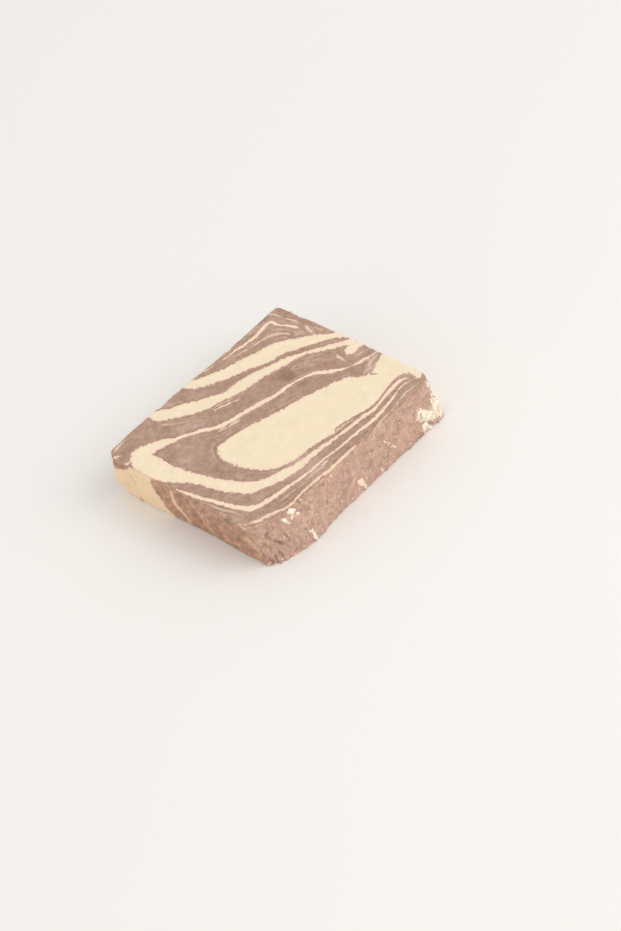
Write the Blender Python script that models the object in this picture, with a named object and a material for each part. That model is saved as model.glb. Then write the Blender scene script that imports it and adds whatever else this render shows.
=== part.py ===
"""A slice of marbled sesame halva, lying on its cut face.

The slice is a slab cut across a loaf. Its two broad faces are flat cuts, its left, right and back
sides are cuts too, the left and right ones leaning a little, and its front is the crumbly outside
of the loaf. Each corner is worn in its own way.
X runs from one cut end to the other, Y across the slice and Z up through its thickness.
Sizes below are millimetres; the mesh is made in metres.
"""

import math

import bpy
import numpy as np
from mathutils import Vector, noise

METRES_PER_MM = 0.001

# Driving sizes of the slice.
LENGTH = 93.4
WIDTH = 83.4
THICKNESS = 21.0
END_SLANT = 2.2
CROSSING = 0.9

# The mesh: cells along X and Y, and the heights of the rings up the wall.
CELLS_X = 44
CELLS_Y = 39
RING_HEIGHTS = (0.0, 0.35, 1.5, 4.4, 7.6, 10.8, 14.0, 17.0, 19.4, 20.6, 21.0)
EDGE_RADIUS_TOP = 0.9
EDGE_RADIUS_BOTTOM = 1.0

# Wear of the four corners, named by where they lie: how far the cut-back runs along the
# slice (X), how far across it (Y), and how full its curve is (1 is a straight bevel, 2 round).
CORNER_WEAR = {
    "left_back": {"top": (3.4, 3.6, 1.7), "bottom": (2.4, 2.6, 2.0)},
    "right_back": {"top": (2.0, 2.2, 2.0), "bottom": (2.2, 2.4, 2.0)},
    "right_front": {"top": (3.0, 3.2, 1.6), "bottom": (3.6, 3.0, 1.8)},
    "left_front": {"top": (16.5, 9.4, 1.45), "bottom": (14.5, 7.4, 1.9)},
}

# Bows of the sides, as the most that each leaves a straight line.
BACK_WAVE = 0.6
RIGHT_BOW = 0.7
LEFT_WAVE = 0.25
FRONT_SWELL = 1.5
FRONT_SWELL_CENTRE = 0.80
FRONT_SWELL_SPREAD = 0.11

# Roughness of the surfaces: the front is the loaf's crumbly outside, the knife left the rest smooth.
CRUST_RELIEF = 0.55
CRUST_LUMP_SIZE = 6.0
CUT_SIDE_RELIEF = 0.18
CUT_FACE_RELIEF = 0.10
CUT_WAVE_SIZE = 17.0

# Places where crumbs have broken away: centre as shares of length, width and thickness
# (0 to 1 from the left, front and bottom), reach, and depth, in millimetres.
BREAKS = (
    ((0.175, 0.010, 0.97), 6.0, 1.9),
    ((0.235, 0.000, 0.80), 4.6, 1.2),
    ((0.060, 0.060, 0.30), 5.0, 1.0),
    ((0.120, 0.010, 0.10), 4.6, 1.1),
    ((0.985, 0.010, 0.93), 6.0, 1.7),
    ((0.995, 0.015, 0.55), 6.5, 1.8),
    ((0.900, 0.000, 0.62), 5.0, 0.9),
    ((0.010, 0.960, 0.95), 5.0, 1.5),
    ((0.000, 0.820, 0.70), 5.5, 0.7),
    ((0.600, 1.000, 0.15), 6.0, 0.9),
    ((0.310, 1.000, 0.90), 5.0, 0.7),
)

# Colour of the pale and the cocoa paste together, and the dry waxy surface.
HALVA_COLOUR = (0.66, 0.48, 0.36, 1.0)
HALVA_ROUGHNESS = 0.62

CORNERS = ("left_back", "right_back", "right_front", "left_front")


def clear_objects():
    """Remove whatever the open file holds."""
    for item in list(bpy.data.objects):
        bpy.data.objects.remove(item, do_unlink=True)


def mix(low, high, share):
    """Blend two numbers."""
    return low + (high - low) * share


def corner_places(height_share):
    """Sharp corners of the outline at one height, before any wear."""
    lean = END_SLANT * (0.5 - height_share)
    half_length = LENGTH / 2
    half_width = WIDTH / 2
    return {
        "left_back": np.array((-half_length + lean, half_width)),
        "right_back": np.array((half_length + lean, half_width - CROSSING)),
        "right_front": np.array((half_length + lean + 0.4, -half_width + CROSSING)),
        "left_front": np.array((-half_length + lean, -half_width + CROSSING * height_share)),
    }


def wear_at(corner, height_share):
    """Cut-back along X, cut-back along Y and fullness of one corner at one height."""
    wear = CORNER_WEAR[corner]
    return tuple(mix(low, high, height_share) for low, high in zip(wear["bottom"], wear["top"]))


def side_bow(side, share, height_share):
    """How far a side stands out of the straight line at a share of its length."""
    if side == 0:
        return BACK_WAVE * math.sin(2 * math.pi * share)
    if side == 1:
        return RIGHT_BOW * math.sin(math.pi * share)
    if side == 2:
        spread = (share - FRONT_SWELL_CENTRE) / FRONT_SWELL_SPREAD
        return FRONT_SWELL * math.exp(-spread * spread) * (1 - height_share)
    return LEFT_WAVE * math.sin(3 * math.pi * share)


def corner_inset(distance, reach_here, reach_across, fullness):
    """How far the worn corner lies inside the side, at a distance from the sharp corner."""
    if distance >= reach_here:
        return 0.0
    level = 1 - distance / reach_here
    return reach_across * (1 - (1 - level ** fullness) ** (1 / fullness))


def side_points(side, cells, height_share):
    """Points of one side of the outline, from the middle of one worn corner to the next."""
    names = (CORNERS[side], CORNERS[(side + 1) % 4])
    places = corner_places(height_share)
    start = places[names[0]]
    along = places[names[1]] - start
    length = float(np.linalg.norm(along))
    along = along / length
    outward = np.array((-along[1], along[0]))
    reaches = []
    for name in names:
        along_x, along_y, fullness = wear_at(name, height_share)
        reaches.append((along_x, along_y, fullness) if side % 2 == 0 else (along_y, along_x, fullness))
    middles = [reach[0] * (1 - 0.5 ** (1 / reach[2])) for reach in reaches]
    points = []
    for step in range(cells + 1):
        distance = mix(middles[0], length - middles[1], step / cells)
        inset = corner_inset(distance, *reaches[0]) + corner_inset(length - distance, *reaches[1])
        bow = side_bow(side, distance / length, height_share)
        points.append(start + along * distance + outward * (bow - inset))
    return np.array(points)


def outline(height_share):
    """The whole outline at one height: back, right, front and left, each with its cells."""
    cells = (CELLS_X, CELLS_Y, CELLS_X, CELLS_Y)
    sides = [side_points(side, cells[side], height_share)[:-1] for side in range(4)]
    return np.concatenate(sides)


def edge_inset(height):
    """How far the rounded top and bottom edges draw the wall in at one height."""
    above = height - (THICKNESS - EDGE_RADIUS_TOP)
    if above > 0:
        return EDGE_RADIUS_TOP - math.sqrt(max(EDGE_RADIUS_TOP ** 2 - above ** 2, 0.0))
    below = EDGE_RADIUS_BOTTOM - height
    if below > 0:
        return EDGE_RADIUS_BOTTOM - math.sqrt(max(EDGE_RADIUS_BOTTOM ** 2 - below ** 2, 0.0))
    return 0.0


def outward_normals(ring):
    """Level normals of a ring of points that runs clockwise when seen from above."""
    tangent = np.roll(ring, -1, axis=0) - np.roll(ring, 1, axis=0)
    normals = np.stack((-tangent[:, 1], tangent[:, 0]), axis=1)
    return normals / np.linalg.norm(normals, axis=1, keepdims=True)


def wall_relief(point, normal):
    """Rise of the crumbly front or of the smoother cut sides at a point of the wall."""
    crust = min(max(-normal[1] * 1.6 - 0.4, 0.0), 1.0)
    spot = Vector(point) / CRUST_LUMP_SIZE
    lumps = noise.noise(spot) + 0.6 * noise.noise(spot * 2.1 + Vector((7.0, 3.0, 1.0)))
    drag = noise.noise(Vector((point[0], point[1], point[2] * 0.25)) / CRUST_LUMP_SIZE)
    return crust * CRUST_RELIEF * lumps + (1 - crust) * CUT_SIDE_RELIEF * drag


def broken_depth(point):
    """How deep the broken-away places reach in at a point."""
    depth = 0.0
    for (share_x, share_y, share_z), reach, most in BREAKS:
        centre = (
            (share_x - 0.5) * LENGTH,
            (share_y - 0.5) * WIDTH,
            share_z * THICKNESS,
        )
        distance = math.dist(point, centre)
        if distance < reach:
            fall = 1 - (distance / reach) ** 2
            depth += most * fall * fall
    return depth


def wall_rings():
    """Rings of the wall from the bottom to the top, with wear and roughness on them."""
    rings = []
    for height in RING_HEIGHTS:
        flat_ring = outline(height / THICKNESS)
        normals = outward_normals(flat_ring)
        ring = []
        for place, normal in zip(flat_ring, normals):
            point = (place[0], place[1], height)
            shift = wall_relief(point, normal) - edge_inset(height) - broken_depth(point)
            ring.append((place[0] + normal[0] * shift, place[1] + normal[1] * shift, height))
        rings.append(np.array(ring))
    return rings


def filled_grid(ring):
    """A grid of points that fills a ring, its rows bending with all four sides."""
    corner = (0, CELLS_X, CELLS_X + CELLS_Y, 2 * CELLS_X + CELLS_Y)
    closed = np.concatenate((ring, ring[:1]))
    back = closed[corner[0]:corner[1] + 1]
    right = closed[corner[1]:corner[2] + 1]
    front = closed[corner[2]:corner[3] + 1][::-1]
    left = closed[corner[3]:][::-1]
    u = np.linspace(0, 1, CELLS_X + 1)[:, None, None]
    v = np.linspace(0, 1, CELLS_Y + 1)[None, :, None]
    across = (1 - v) * back[:, None, :] + v * front[:, None, :]
    along = (1 - u) * left[None, :, :] + u * right[None, :, :]
    corners = (
        (1 - u) * (1 - v) * back[0] + u * (1 - v) * back[-1]
        + (1 - u) * v * front[0] + u * v * front[-1]
    )
    return across + along - corners


def cut_face_height(point):
    """Height of the upper cut face: slow waves of the knife and the dips at broken corners."""
    waves = noise.noise(Vector((point[0], point[1] * 2.2, 0.0)) / CUT_WAVE_SIZE)
    rim = 0.55 * broken_depth((point[0], point[1], THICKNESS))
    return THICKNESS + CUT_FACE_RELIEF * (waves - 1) - rim


def build_mesh():
    """Join the wall rings, the upper cut face and the flat lower cut face into one skin."""
    rings = wall_rings()
    count = len(rings[0])
    points = [tuple(point) for ring in rings for point in ring]
    faces = []
    for level in range(len(rings) - 1):
        low = level * count
        high = low + count
        for step in range(count):
            following = (step + 1) % count
            faces.append((low + following, low + step, high + step, high + following))
    faces.append(tuple(range(count)))

    grid = filled_grid(rings[-1])
    rim = (len(rings) - 1) * count
    numbers = {}
    for step in range(CELLS_X + 1):
        numbers[(step, 0)] = rim + step
        numbers[(CELLS_X - step, CELLS_Y)] = rim + CELLS_X + CELLS_Y + step
    for step in range(1, CELLS_Y):
        numbers[(CELLS_X, step)] = rim + CELLS_X + step
        numbers[(0, CELLS_Y - step)] = rim + 2 * CELLS_X + CELLS_Y + step
    for column in range(1, CELLS_X):
        for row in range(1, CELLS_Y):
            place = grid[column, row]
            numbers[(column, row)] = len(points)
            points.append((place[0], place[1], cut_face_height(place)))
    for column in range(CELLS_X):
        for row in range(CELLS_Y):
            faces.append((
                numbers[(column, row)],
                numbers[(column, row + 1)],
                numbers[(column + 1, row + 1)],
                numbers[(column + 1, row)],
            ))
    return np.array(points), faces


def centred(points):
    """Move the points so that the bottom of their box is centred on the origin."""
    low = points.min(axis=0)
    high = points.max(axis=0)
    middle = (low + high) / 2
    return points - np.array((middle[0], middle[1], low[2]))


def halva_material():
    """Matt, slightly waxy paste."""
    material = bpy.data.materials.new("halva_paste")
    material.use_nodes = True
    shader = material.node_tree.nodes["Principled BSDF"]
    shader.inputs["Base Color"].default_value = HALVA_COLOUR
    shader.inputs["Roughness"].default_value = HALVA_ROUGHNESS
    shader.inputs["Metallic"].default_value = 0.0
    return material


def build_slice():
    """Make the slice as one closed object."""
    points, faces = build_mesh()
    mesh = bpy.data.meshes.new("halva_slice")
    mesh.from_pydata((centred(points) * METRES_PER_MM).tolist(), [], faces)
    mesh.validate()
    mesh.shade_smooth()
    mesh.set_sharp_from_angle(angle=math.radians(40))
    mesh.materials.append(halva_material())
    item = bpy.data.objects.new("halva_slice", mesh)
    bpy.context.scene.collection.objects.link(item)
    return item


clear_objects()
build_slice()
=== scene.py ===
"""Looks of one slice of marbled sesame halva, lying on its cut face.

The form repeats the sizes of the slice's solid at a finer grain. The crumb of the crust, the
drag of the knife, the creases and the chipped edges are real relief. The marbling is worked
out from the folds of the pale paste, each a path with widths, and reaches the material as
attributes of the mesh. Lengths are millimetres until a mesh is made, in metres.
"""

import logging
import math
from dataclasses import dataclass, field
from enum import Enum
from itertools import product

import bmesh
import bpy
import numpy as np
from mathutils import Matrix, Vector


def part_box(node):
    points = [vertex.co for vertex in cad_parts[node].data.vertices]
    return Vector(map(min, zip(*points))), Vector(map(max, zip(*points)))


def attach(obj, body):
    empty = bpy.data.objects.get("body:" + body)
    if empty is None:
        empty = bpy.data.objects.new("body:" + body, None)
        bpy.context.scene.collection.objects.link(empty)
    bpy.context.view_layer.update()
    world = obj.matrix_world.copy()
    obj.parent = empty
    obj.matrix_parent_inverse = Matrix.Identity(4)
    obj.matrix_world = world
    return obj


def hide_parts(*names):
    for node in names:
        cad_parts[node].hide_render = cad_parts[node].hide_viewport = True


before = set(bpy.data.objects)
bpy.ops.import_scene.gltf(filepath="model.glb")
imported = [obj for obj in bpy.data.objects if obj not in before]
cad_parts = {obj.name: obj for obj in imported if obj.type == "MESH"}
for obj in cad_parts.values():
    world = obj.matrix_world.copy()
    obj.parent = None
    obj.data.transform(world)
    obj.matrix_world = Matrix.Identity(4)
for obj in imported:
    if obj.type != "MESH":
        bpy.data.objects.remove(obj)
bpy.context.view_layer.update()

LOG = logging.getLogger("halva")
NODE = "halva_slice"
BODY = "root"
METRES_PER_MM = 0.001

Colour = tuple[float, float, float, float]
Knot = tuple[float, float, float]
Place = tuple[float, float]


# ---------------------------------------------------------------------------
# Numbers: noise, paths and blends
# ---------------------------------------------------------------------------


def smooth_step(values: np.ndarray, low: float, high: float) -> np.ndarray:
    """Ease from 0 at low to 1 at high.

    Args:
        values: Numbers to ease.
        low: Where the ease starts.
        high: Where it ends.

    Returns:
        A share from 0 to 1 for each number.
    """
    share = np.clip((values - low) / (high - low), 0.0, 1.0)
    return share * share * (3 - 2 * share)


class SmoothNoise:
    """Seeded gradient noise in space, about -1 to 1."""

    def __init__(self, seed: int) -> None:
        """Draw the lattice.

        Args:
            seed: Start of the random draws.
        """
        draw = np.random.default_rng(seed)
        self.order = draw.permutation(256)
        slopes = draw.normal(size=(256, 3))
        self.slopes = slopes / np.linalg.norm(slopes, axis=1, keepdims=True)

    def at(self, places: np.ndarray) -> np.ndarray:
        """Read the noise.

        Args:
            places: Points, one a row, in cells of the lattice.

        Returns:
            One number for each point.
        """
        cell = np.floor(places).astype(int)
        inside = places - cell
        ease = inside ** 3 * (inside * (inside * 6 - 15) + 10)
        total = np.zeros(len(places))
        for corner in product((0, 1), repeat=3):
            key = lattice_key(self.order, cell + corner)
            share = np.where(np.array(corner) == 1, ease, 1 - ease).prod(axis=1)
            total += share * ((inside - corner) * self.slopes[key]).sum(axis=1)
        return total * 1.6

    def layered(self, places: np.ndarray, layers: int = 3) -> np.ndarray:
        """Sum the noise at ever finer grain.

        Args:
            places: Points, one a row, in cells of the coarsest layer.
            layers: How many layers there are, each half as strong as the last.

        Returns:
            One number for each point.
        """
        total = np.zeros(len(places))
        for layer in range(layers):
            total += 0.5 ** layer * self.at(places * 2.03 ** layer + 17.0 * layer)
        return total


class CrumbNoise:
    """Seeded cell noise: crumbs packed side by side."""

    def __init__(self, seed: int) -> None:
        """Draw the lattice.

        Args:
            seed: Start of the random draws.
        """
        draw = np.random.default_rng(seed)
        self.order = draw.permutation(256)
        self.centres = draw.random((256, 3))
        self.tones = draw.random(256)

    def at(self, places: np.ndarray) -> tuple[np.ndarray, np.ndarray, np.ndarray]:
        """Find the crumbs round each point.

        Args:
            places: Points, one a row, in crumbs' widths.

        Returns:
            Distance to the nearest crumb's centre, distance to the next one, and a
            number from 0 to 1 that belongs to the nearest crumb.
        """
        cell = np.floor(places).astype(int)
        near = np.full(len(places), 9.0)
        far = near.copy()
        tone = np.zeros(len(places))
        for step in product((-1, 0, 1), repeat=3):
            node = cell + step
            key = lattice_key(self.order, node)
            distance = np.linalg.norm(node + self.centres[key] - places, axis=1)
            closer = distance < near
            far = np.where(closer, near, np.minimum(far, distance))
            tone = np.where(closer, self.tones[key], tone)
            near = np.where(closer, distance, near)
        return near, far, tone


def lattice_key(order: np.ndarray, node: np.ndarray) -> np.ndarray:
    """Number of each lattice node in a table of 256.

    Args:
        order: A shuffled row of the numbers 0 to 255.
        node: Whole coordinates, one node a row.

    Returns:
        One number from 0 to 255 for each node.
    """
    low = node & 255
    first = order[low[:, 0]] + low[:, 1]
    second = order[first & 255] + low[:, 2]
    return order[second & 255]


def smooth_path(knots: np.ndarray, spacing: float, closed: bool) -> np.ndarray:
    """Run a smooth curve through knots.

    Args:
        knots: Knots, one a row; the first two columns are the place.
        spacing: Distance between the curve's points, about.
        closed: Whether the curve comes back to its first knot.

    Returns:
        Points of the curve, with the knots' other columns eased along it.
    """
    if closed:
        padded = np.vstack((knots[-1:], knots, knots[:2]))
    else:
        padded = np.vstack((2 * knots[0] - knots[1], knots, 2 * knots[-1] - knots[-2]))
    runs = []
    for index in range(len(padded) - 3):
        before, start, end, after = padded[index:index + 4]
        count = max(2, math.ceil(float(np.linalg.norm((end - start)[:2])) / spacing))
        share = np.linspace(0, 1, count, endpoint=False)[:, None]
        runs.append(
            start
            + 0.5 * share * (end - before)
            + 0.5 * share ** 2 * (2 * before - 5 * start + 4 * end - after)
            + 0.5 * share ** 3 * (3 * start - before - 3 * end + after)
        )
    runs.append(padded[-2:-1])
    return np.vstack(runs)


def nearest_on_path(places: np.ndarray, path: np.ndarray) -> tuple[np.ndarray, ...]:
    """Find the nearest point of a path for each place.

    Args:
        places: Points in the plane, one a row.
        path: Points of the path; a third column is its width there.

    Returns:
        Distance to the path, the same with a sign for its side, the path's width
        there, and whether the place lies inside the path if it is closed.
    """
    best = np.full(len(places), 1e9)
    side = np.ones(len(places))
    width = np.zeros(len(places))
    inside = np.zeros(len(places), bool)
    for start, end in zip(path[:-1], path[1:]):
        run = end[:2] - start[:2]
        offset = places - start[:2]
        share = np.clip(offset @ run / max(float(run @ run), 1e-9), 0, 1)
        distance = np.hypot(offset[:, 0] - share * run[0], offset[:, 1] - share * run[1])
        closer = distance < best
        turn = run[0] * offset[:, 1] - run[1] * offset[:, 0]
        side = np.where(closer, np.where(turn < 0, -1.0, 1.0), side)
        width = np.where(closer, start[2] + share * (end[2] - start[2]), width)
        best = np.where(closer, distance, best)
        crosses = (start[1] > places[:, 1]) != (end[1] > places[:, 1])
        rise = end[1] - start[1] if end[1] != start[1] else 1e-9
        inside ^= crosses & (places[:, 0] < start[0] + run[0] * (places[:, 1] - start[1]) / rise)
    return best, best * side, width, inside


# ---------------------------------------------------------------------------
# The form of the slice
# ---------------------------------------------------------------------------


class Corner(Enum):
    """Corners of the slice, clockwise from above."""

    LEFT_BACK = 0
    RIGHT_BACK = 1
    RIGHT_FRONT = 2
    LEFT_FRONT = 3


class Side(Enum):
    """Sides of the slice, each from the corner of its own number to the next."""

    BACK = 0
    RIGHT = 1
    FRONT = 2
    LEFT = 3


@dataclass(frozen=True)
class Wear:
    """How far a corner is cut back along each side, and how full its curve is."""

    along_x: float
    along_y: float
    fullness: float

    def towards(self, other: "Wear", share: float) -> "Wear":
        """Blend with another wear.

        Args:
            other: Wear at share 1.
            share: From 0, this wear, to 1, the other.

        Returns:
            The wear between.
        """
        return Wear(
            self.along_x + (other.along_x - self.along_x) * share,
            self.along_y + (other.along_y - self.along_y) * share,
            self.fullness + (other.fullness - self.fullness) * share,
        )


@dataclass(frozen=True)
class Break:
    """A place where crumbs have broken away, or stand out where the depth is below 0.

    The centre is in shares of length, width and thickness.
    """

    centre: Knot
    reach: float
    depth: float


@dataclass
class Skin:
    """Points of the slice's surface before any relief, and what lies where."""

    places: np.ndarray
    normals: np.ndarray
    level: np.ndarray
    crust: np.ndarray
    upper: np.ndarray
    lower: np.ndarray
    rim: np.ndarray


@dataclass
class SliceForm:
    """Outline of the slice at each height, and the skin round it."""

    length: float = 93.4
    width: float = 83.4
    thickness: float = 21.0
    end_slant: float = 2.2
    crossing: float = 0.9
    edge_radius_top: float = 0.9
    edge_radius_bottom: float = 1.0
    back_wave: float = 0.6
    right_bow: float = 0.7
    left_wave: float = 0.25
    front_swell: float = 1.5
    front_swell_centre: float = 0.80
    front_swell_spread: float = 0.11
    cells_x: int = 214
    cells_y: int = 190
    wall_spacing: float = 0.5
    arc_steps: int = 6
    bottom_step: int = 2
    wear_bottom: dict[Corner, Wear] = field(default_factory=lambda: {
        Corner.LEFT_BACK: Wear(2.4, 2.6, 2.0),
        Corner.RIGHT_BACK: Wear(2.2, 2.4, 2.0),
        Corner.RIGHT_FRONT: Wear(3.6, 3.0, 1.8),
        Corner.LEFT_FRONT: Wear(14.5, 7.4, 1.9),
    })
    wear_top: dict[Corner, Wear] = field(default_factory=lambda: {
        Corner.LEFT_BACK: Wear(3.4, 3.6, 1.7),
        Corner.RIGHT_BACK: Wear(2.0, 2.2, 2.0),
        Corner.RIGHT_FRONT: Wear(3.0, 3.2, 1.6),
        Corner.LEFT_FRONT: Wear(16.5, 9.4, 1.45),
    })
    breaks: tuple[Break, ...] = (
        Break((0.175, 0.010, 0.97), 6.0, 1.9),
        Break((0.235, 0.000, 0.80), 4.6, 1.2),
        Break((0.060, 0.060, 0.30), 5.0, 1.0),
        Break((0.120, 0.010, 0.10), 4.6, 1.1),
        Break((0.985, 0.010, 0.93), 6.0, 1.7),
        Break((0.995, 0.015, 0.55), 6.5, 1.8),
        Break((0.900, 0.000, 0.62), 5.0, 0.9),
        Break((0.010, 0.960, 0.95), 5.0, 1.5),
        Break((0.000, 0.820, 0.70), 5.5, 0.7),
        Break((0.600, 1.000, 0.15), 6.0, 0.9),
        Break((0.310, 1.000, 0.90), 5.0, 0.7),
        Break((0.000, 1.000, 0.45), 7.5, -1.5),
        Break((0.030, 0.060, 0.05), 5.5, -0.8),
    )

    def corner_places(self, height_share: float) -> dict[Corner, np.ndarray]:
        """Sharp corners of the outline.

        Args:
            height_share: Height, from 0 at the bottom to 1 at the top.

        Returns:
            The place of each corner before any wear.
        """
        lean = self.end_slant * (0.5 - height_share)
        half_length = self.length / 2
        half_width = self.width / 2
        front = -half_width + self.crossing
        return {
            Corner.LEFT_BACK: np.array((-half_length + lean, half_width)),
            Corner.RIGHT_BACK: np.array((half_length + lean, half_width - self.crossing)),
            Corner.RIGHT_FRONT: np.array((half_length + lean + 0.4, front)),
            Corner.LEFT_FRONT: np.array(
                (-half_length + lean, -half_width + self.crossing * height_share)
            ),
        }

    def bow(self, side: Side, share: np.ndarray, height_share: float) -> np.ndarray:
        """How far a side stands out of its straight line.

        Args:
            side: Which side.
            share: Places along it, from 0 to 1.
            height_share: Height, from 0 at the bottom to 1 at the top.

        Returns:
            The bow at each place.
        """
        if side is Side.BACK:
            return self.back_wave * np.sin(2 * math.pi * share)
        if side is Side.RIGHT:
            return self.right_bow * np.sin(math.pi * share)
        if side is Side.FRONT:
            spread = (share - self.front_swell_centre) / self.front_swell_spread
            return self.front_swell * np.exp(-spread * spread) * (1 - height_share)
        return self.left_wave * np.sin(3 * math.pi * share)

    @staticmethod
    def corner_inset(distance: np.ndarray, here: float, across: float, full: float) -> np.ndarray:
        """How far a worn corner lies inside its side.

        Args:
            distance: Distances from the sharp corner along the side.
            here: Reach of the wear along this side.
            across: Reach of the wear along the other side.
            full: Fullness of the curve.

        Returns:
            The inset at each distance.
        """
        level = np.clip(1 - distance / here, 0, 1)
        return across * (1 - (1 - level ** full) ** (1 / full))

    def side_points(self, side: Side, cells: int, height_share: float) -> np.ndarray:
        """One side of the outline, from the middle of one worn corner to the next.

        Args:
            side: Which side.
            cells: How many cells it is cut into.
            height_share: Height, from 0 at the bottom to 1 at the top.

        Returns:
            Its points, one more than its cells.
        """
        corners = (Corner(side.value), Corner((side.value + 1) % 4))
        places = self.corner_places(height_share)
        start = places[corners[0]]
        along = places[corners[1]] - start
        length = float(np.linalg.norm(along))
        along = along / length
        outward = np.array((-along[1], along[0]))
        reaches = []
        for corner in corners:
            wear = self.wear_bottom[corner].towards(self.wear_top[corner], height_share)
            lengthwise = (wear.along_x, wear.along_y)
            here, across = lengthwise if side.value % 2 == 0 else lengthwise[::-1]
            reaches.append((here, across, wear.fullness))
        middles = [here * (1 - 0.5 ** (1 / full)) for here, _, full in reaches]
        distance = np.linspace(middles[0], length - middles[1], cells + 1)
        inset = self.corner_inset(distance, *reaches[0])
        inset = inset + self.corner_inset(length - distance, *reaches[1])
        shift = self.bow(side, distance / length, height_share) - inset
        return start + distance[:, None] * along + shift[:, None] * outward

    def outline(self, height_share: float) -> np.ndarray:
        """The whole outline at one height.

        Args:
            height_share: Height, from 0 at the bottom to 1 at the top.

        Returns:
            Points of the back, right, front and left sides in turn.
        """
        cells = {Side.BACK: self.cells_x, Side.RIGHT: self.cells_y}
        cells.update({Side.FRONT: self.cells_x, Side.LEFT: self.cells_y})
        return np.concatenate([
            self.side_points(side, cells[side], height_share)[:-1] for side in Side
        ])

    def rings(self) -> list[tuple[float, float]]:
        """Height and inset of each ring of the wall, from the bottom to the top."""
        turns = [math.pi / 2 * step / self.arc_steps for step in range(self.arc_steps + 1)]
        low = self.edge_radius_bottom
        high = self.edge_radius_top
        foot = [(low - low * math.cos(turn), low - low * math.sin(turn)) for turn in turns]
        base = self.thickness - high
        brow = [(base + high * math.sin(turn), high - high * math.cos(turn)) for turn in turns]
        count = round((base - low) / self.wall_spacing)
        middle = [(low + (base - low) * step / count, 0.0) for step in range(1, count)]
        return foot + middle + brow

    def broken(self, places: np.ndarray) -> np.ndarray:
        """How deep the broken-away places reach in.

        Args:
            places: Points, one a row.

        Returns:
            A depth for each point.
        """
        size = np.array((self.length, self.width, self.thickness))
        depth = np.zeros(len(places))
        for gap in self.breaks:
            centre = (np.array(gap.centre) - np.array((0.5, 0.5, 0.0))) * size
            distance = np.linalg.norm(places - centre, axis=1)
            fall = np.clip(1 - (distance / gap.reach) ** 2, 0, 1)
            depth += gap.depth * fall * fall
        return depth

    def filled_grid(self, ring: np.ndarray) -> np.ndarray:
        """Fill a ring with a grid whose rows bend with all four sides.

        Args:
            ring: Points of the ring, as the outline gives them.

        Returns:
            An array of points, by column and by row.
        """
        across, down = self.cells_x, self.cells_y
        closed = np.concatenate((ring, ring[:1]))
        back = closed[:across + 1]
        right = closed[across:across + down + 1]
        front = closed[across + down:2 * across + down + 1][::-1]
        left = closed[2 * across + down:][::-1]
        u = np.linspace(0, 1, across + 1)[:, None, None]
        v = np.linspace(0, 1, down + 1)[None, :, None]
        corners = (
            (1 - u) * (1 - v) * back[0] + u * (1 - v) * back[-1]
            + (1 - u) * v * front[0] + u * v * front[-1]
        )
        along = (1 - v) * back[:, None, :] + v * front[:, None, :]
        return along + (1 - u) * left[None, :, :] + u * right[None, :, :] - corners

    def ring_number(self, column: int, row: int) -> int | None:
        """Place in the ring of a border cell corner.

        Args:
            column: Column of the grid.
            row: Row of the grid.

        Returns:
            Its number in the ring, or None inside the grid.
        """
        across, down = self.cells_x, self.cells_y
        if row == 0:
            return column
        if column == across:
            return across + row
        if row == down:
            return 2 * across + down - column
        if column == 0:
            return 2 * across + 2 * down - row
        return None

    def cap(self, points: list, grid: np.ndarray, first: int, height: float, step: int) -> list:
        """Close the top or the bottom with cells that meet the ring.

        Args:
            points: All points so far; the cap's own are added.
            grid: Filled grid of the ring, by column and row.
            first: Number of the ring's first point.
            height: Height of the cap.
            step: How many fine cells one of its cells spans.

        Returns:
            The cap's faces, running clockwise from above.
        """
        numbers = {}
        for column in range(self.cells_x + 1):
            for row in range(self.cells_y + 1):
                number = self.ring_number(column, row)
                if number is not None:
                    numbers[(column, row)] = first + number
                elif column % step == 0 and row % step == 0:
                    numbers[(column, row)] = len(points)
                    points.append((*grid[column, row], height))
        faces = []
        for column in range(0, self.cells_x, step):
            for row in range(0, self.cells_y, step):
                loop = [(column + shift, row) for shift in range(step)]
                loop += [(column + step, row + shift) for shift in range(step)]
                loop += [(column + step - shift, row + step) for shift in range(step)]
                loop += [(column, row + step - shift) for shift in range(step)]
                faces.append([numbers[spot] for spot in loop if spot in numbers])
        return faces

    def base_mesh(self) -> tuple[np.ndarray, list]:
        """Skin of the slice with its rounded edges, and no relief yet.

        Returns:
            Points in millimetres, centred as the solid is, and faces.
        """
        points: list = []
        for height, inset in self.rings():
            ring = self.outline(height / self.thickness)
            tangent = np.roll(ring, -1, axis=0) - np.roll(ring, 1, axis=0)
            outward = np.stack((-tangent[:, 1], tangent[:, 0]), axis=1)
            outward /= np.linalg.norm(outward, axis=1, keepdims=True)
            ring = ring - outward * inset
            points.extend((x, y, height) for x, y in ring)
        count = 2 * (self.cells_x + self.cells_y)
        levels = len(points) // count
        faces = []
        for level in range(levels - 1):
            low = level * count
            high = low + count
            for step in range(count):
                following = (step + 1) % count
                faces.append([low + following, low + step, high + step, high + following])
        last = (levels - 1) * count
        rows = np.array(points)[:, :2]
        top = self.filled_grid(rows[last:])
        bottom = self.filled_grid(rows[:count])
        faces += [face[::-1] for face in self.cap(points, top, last, self.thickness, 1)]
        faces += self.cap(points, bottom, 0, 0.0, self.bottom_step)
        return np.array(points), faces

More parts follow.
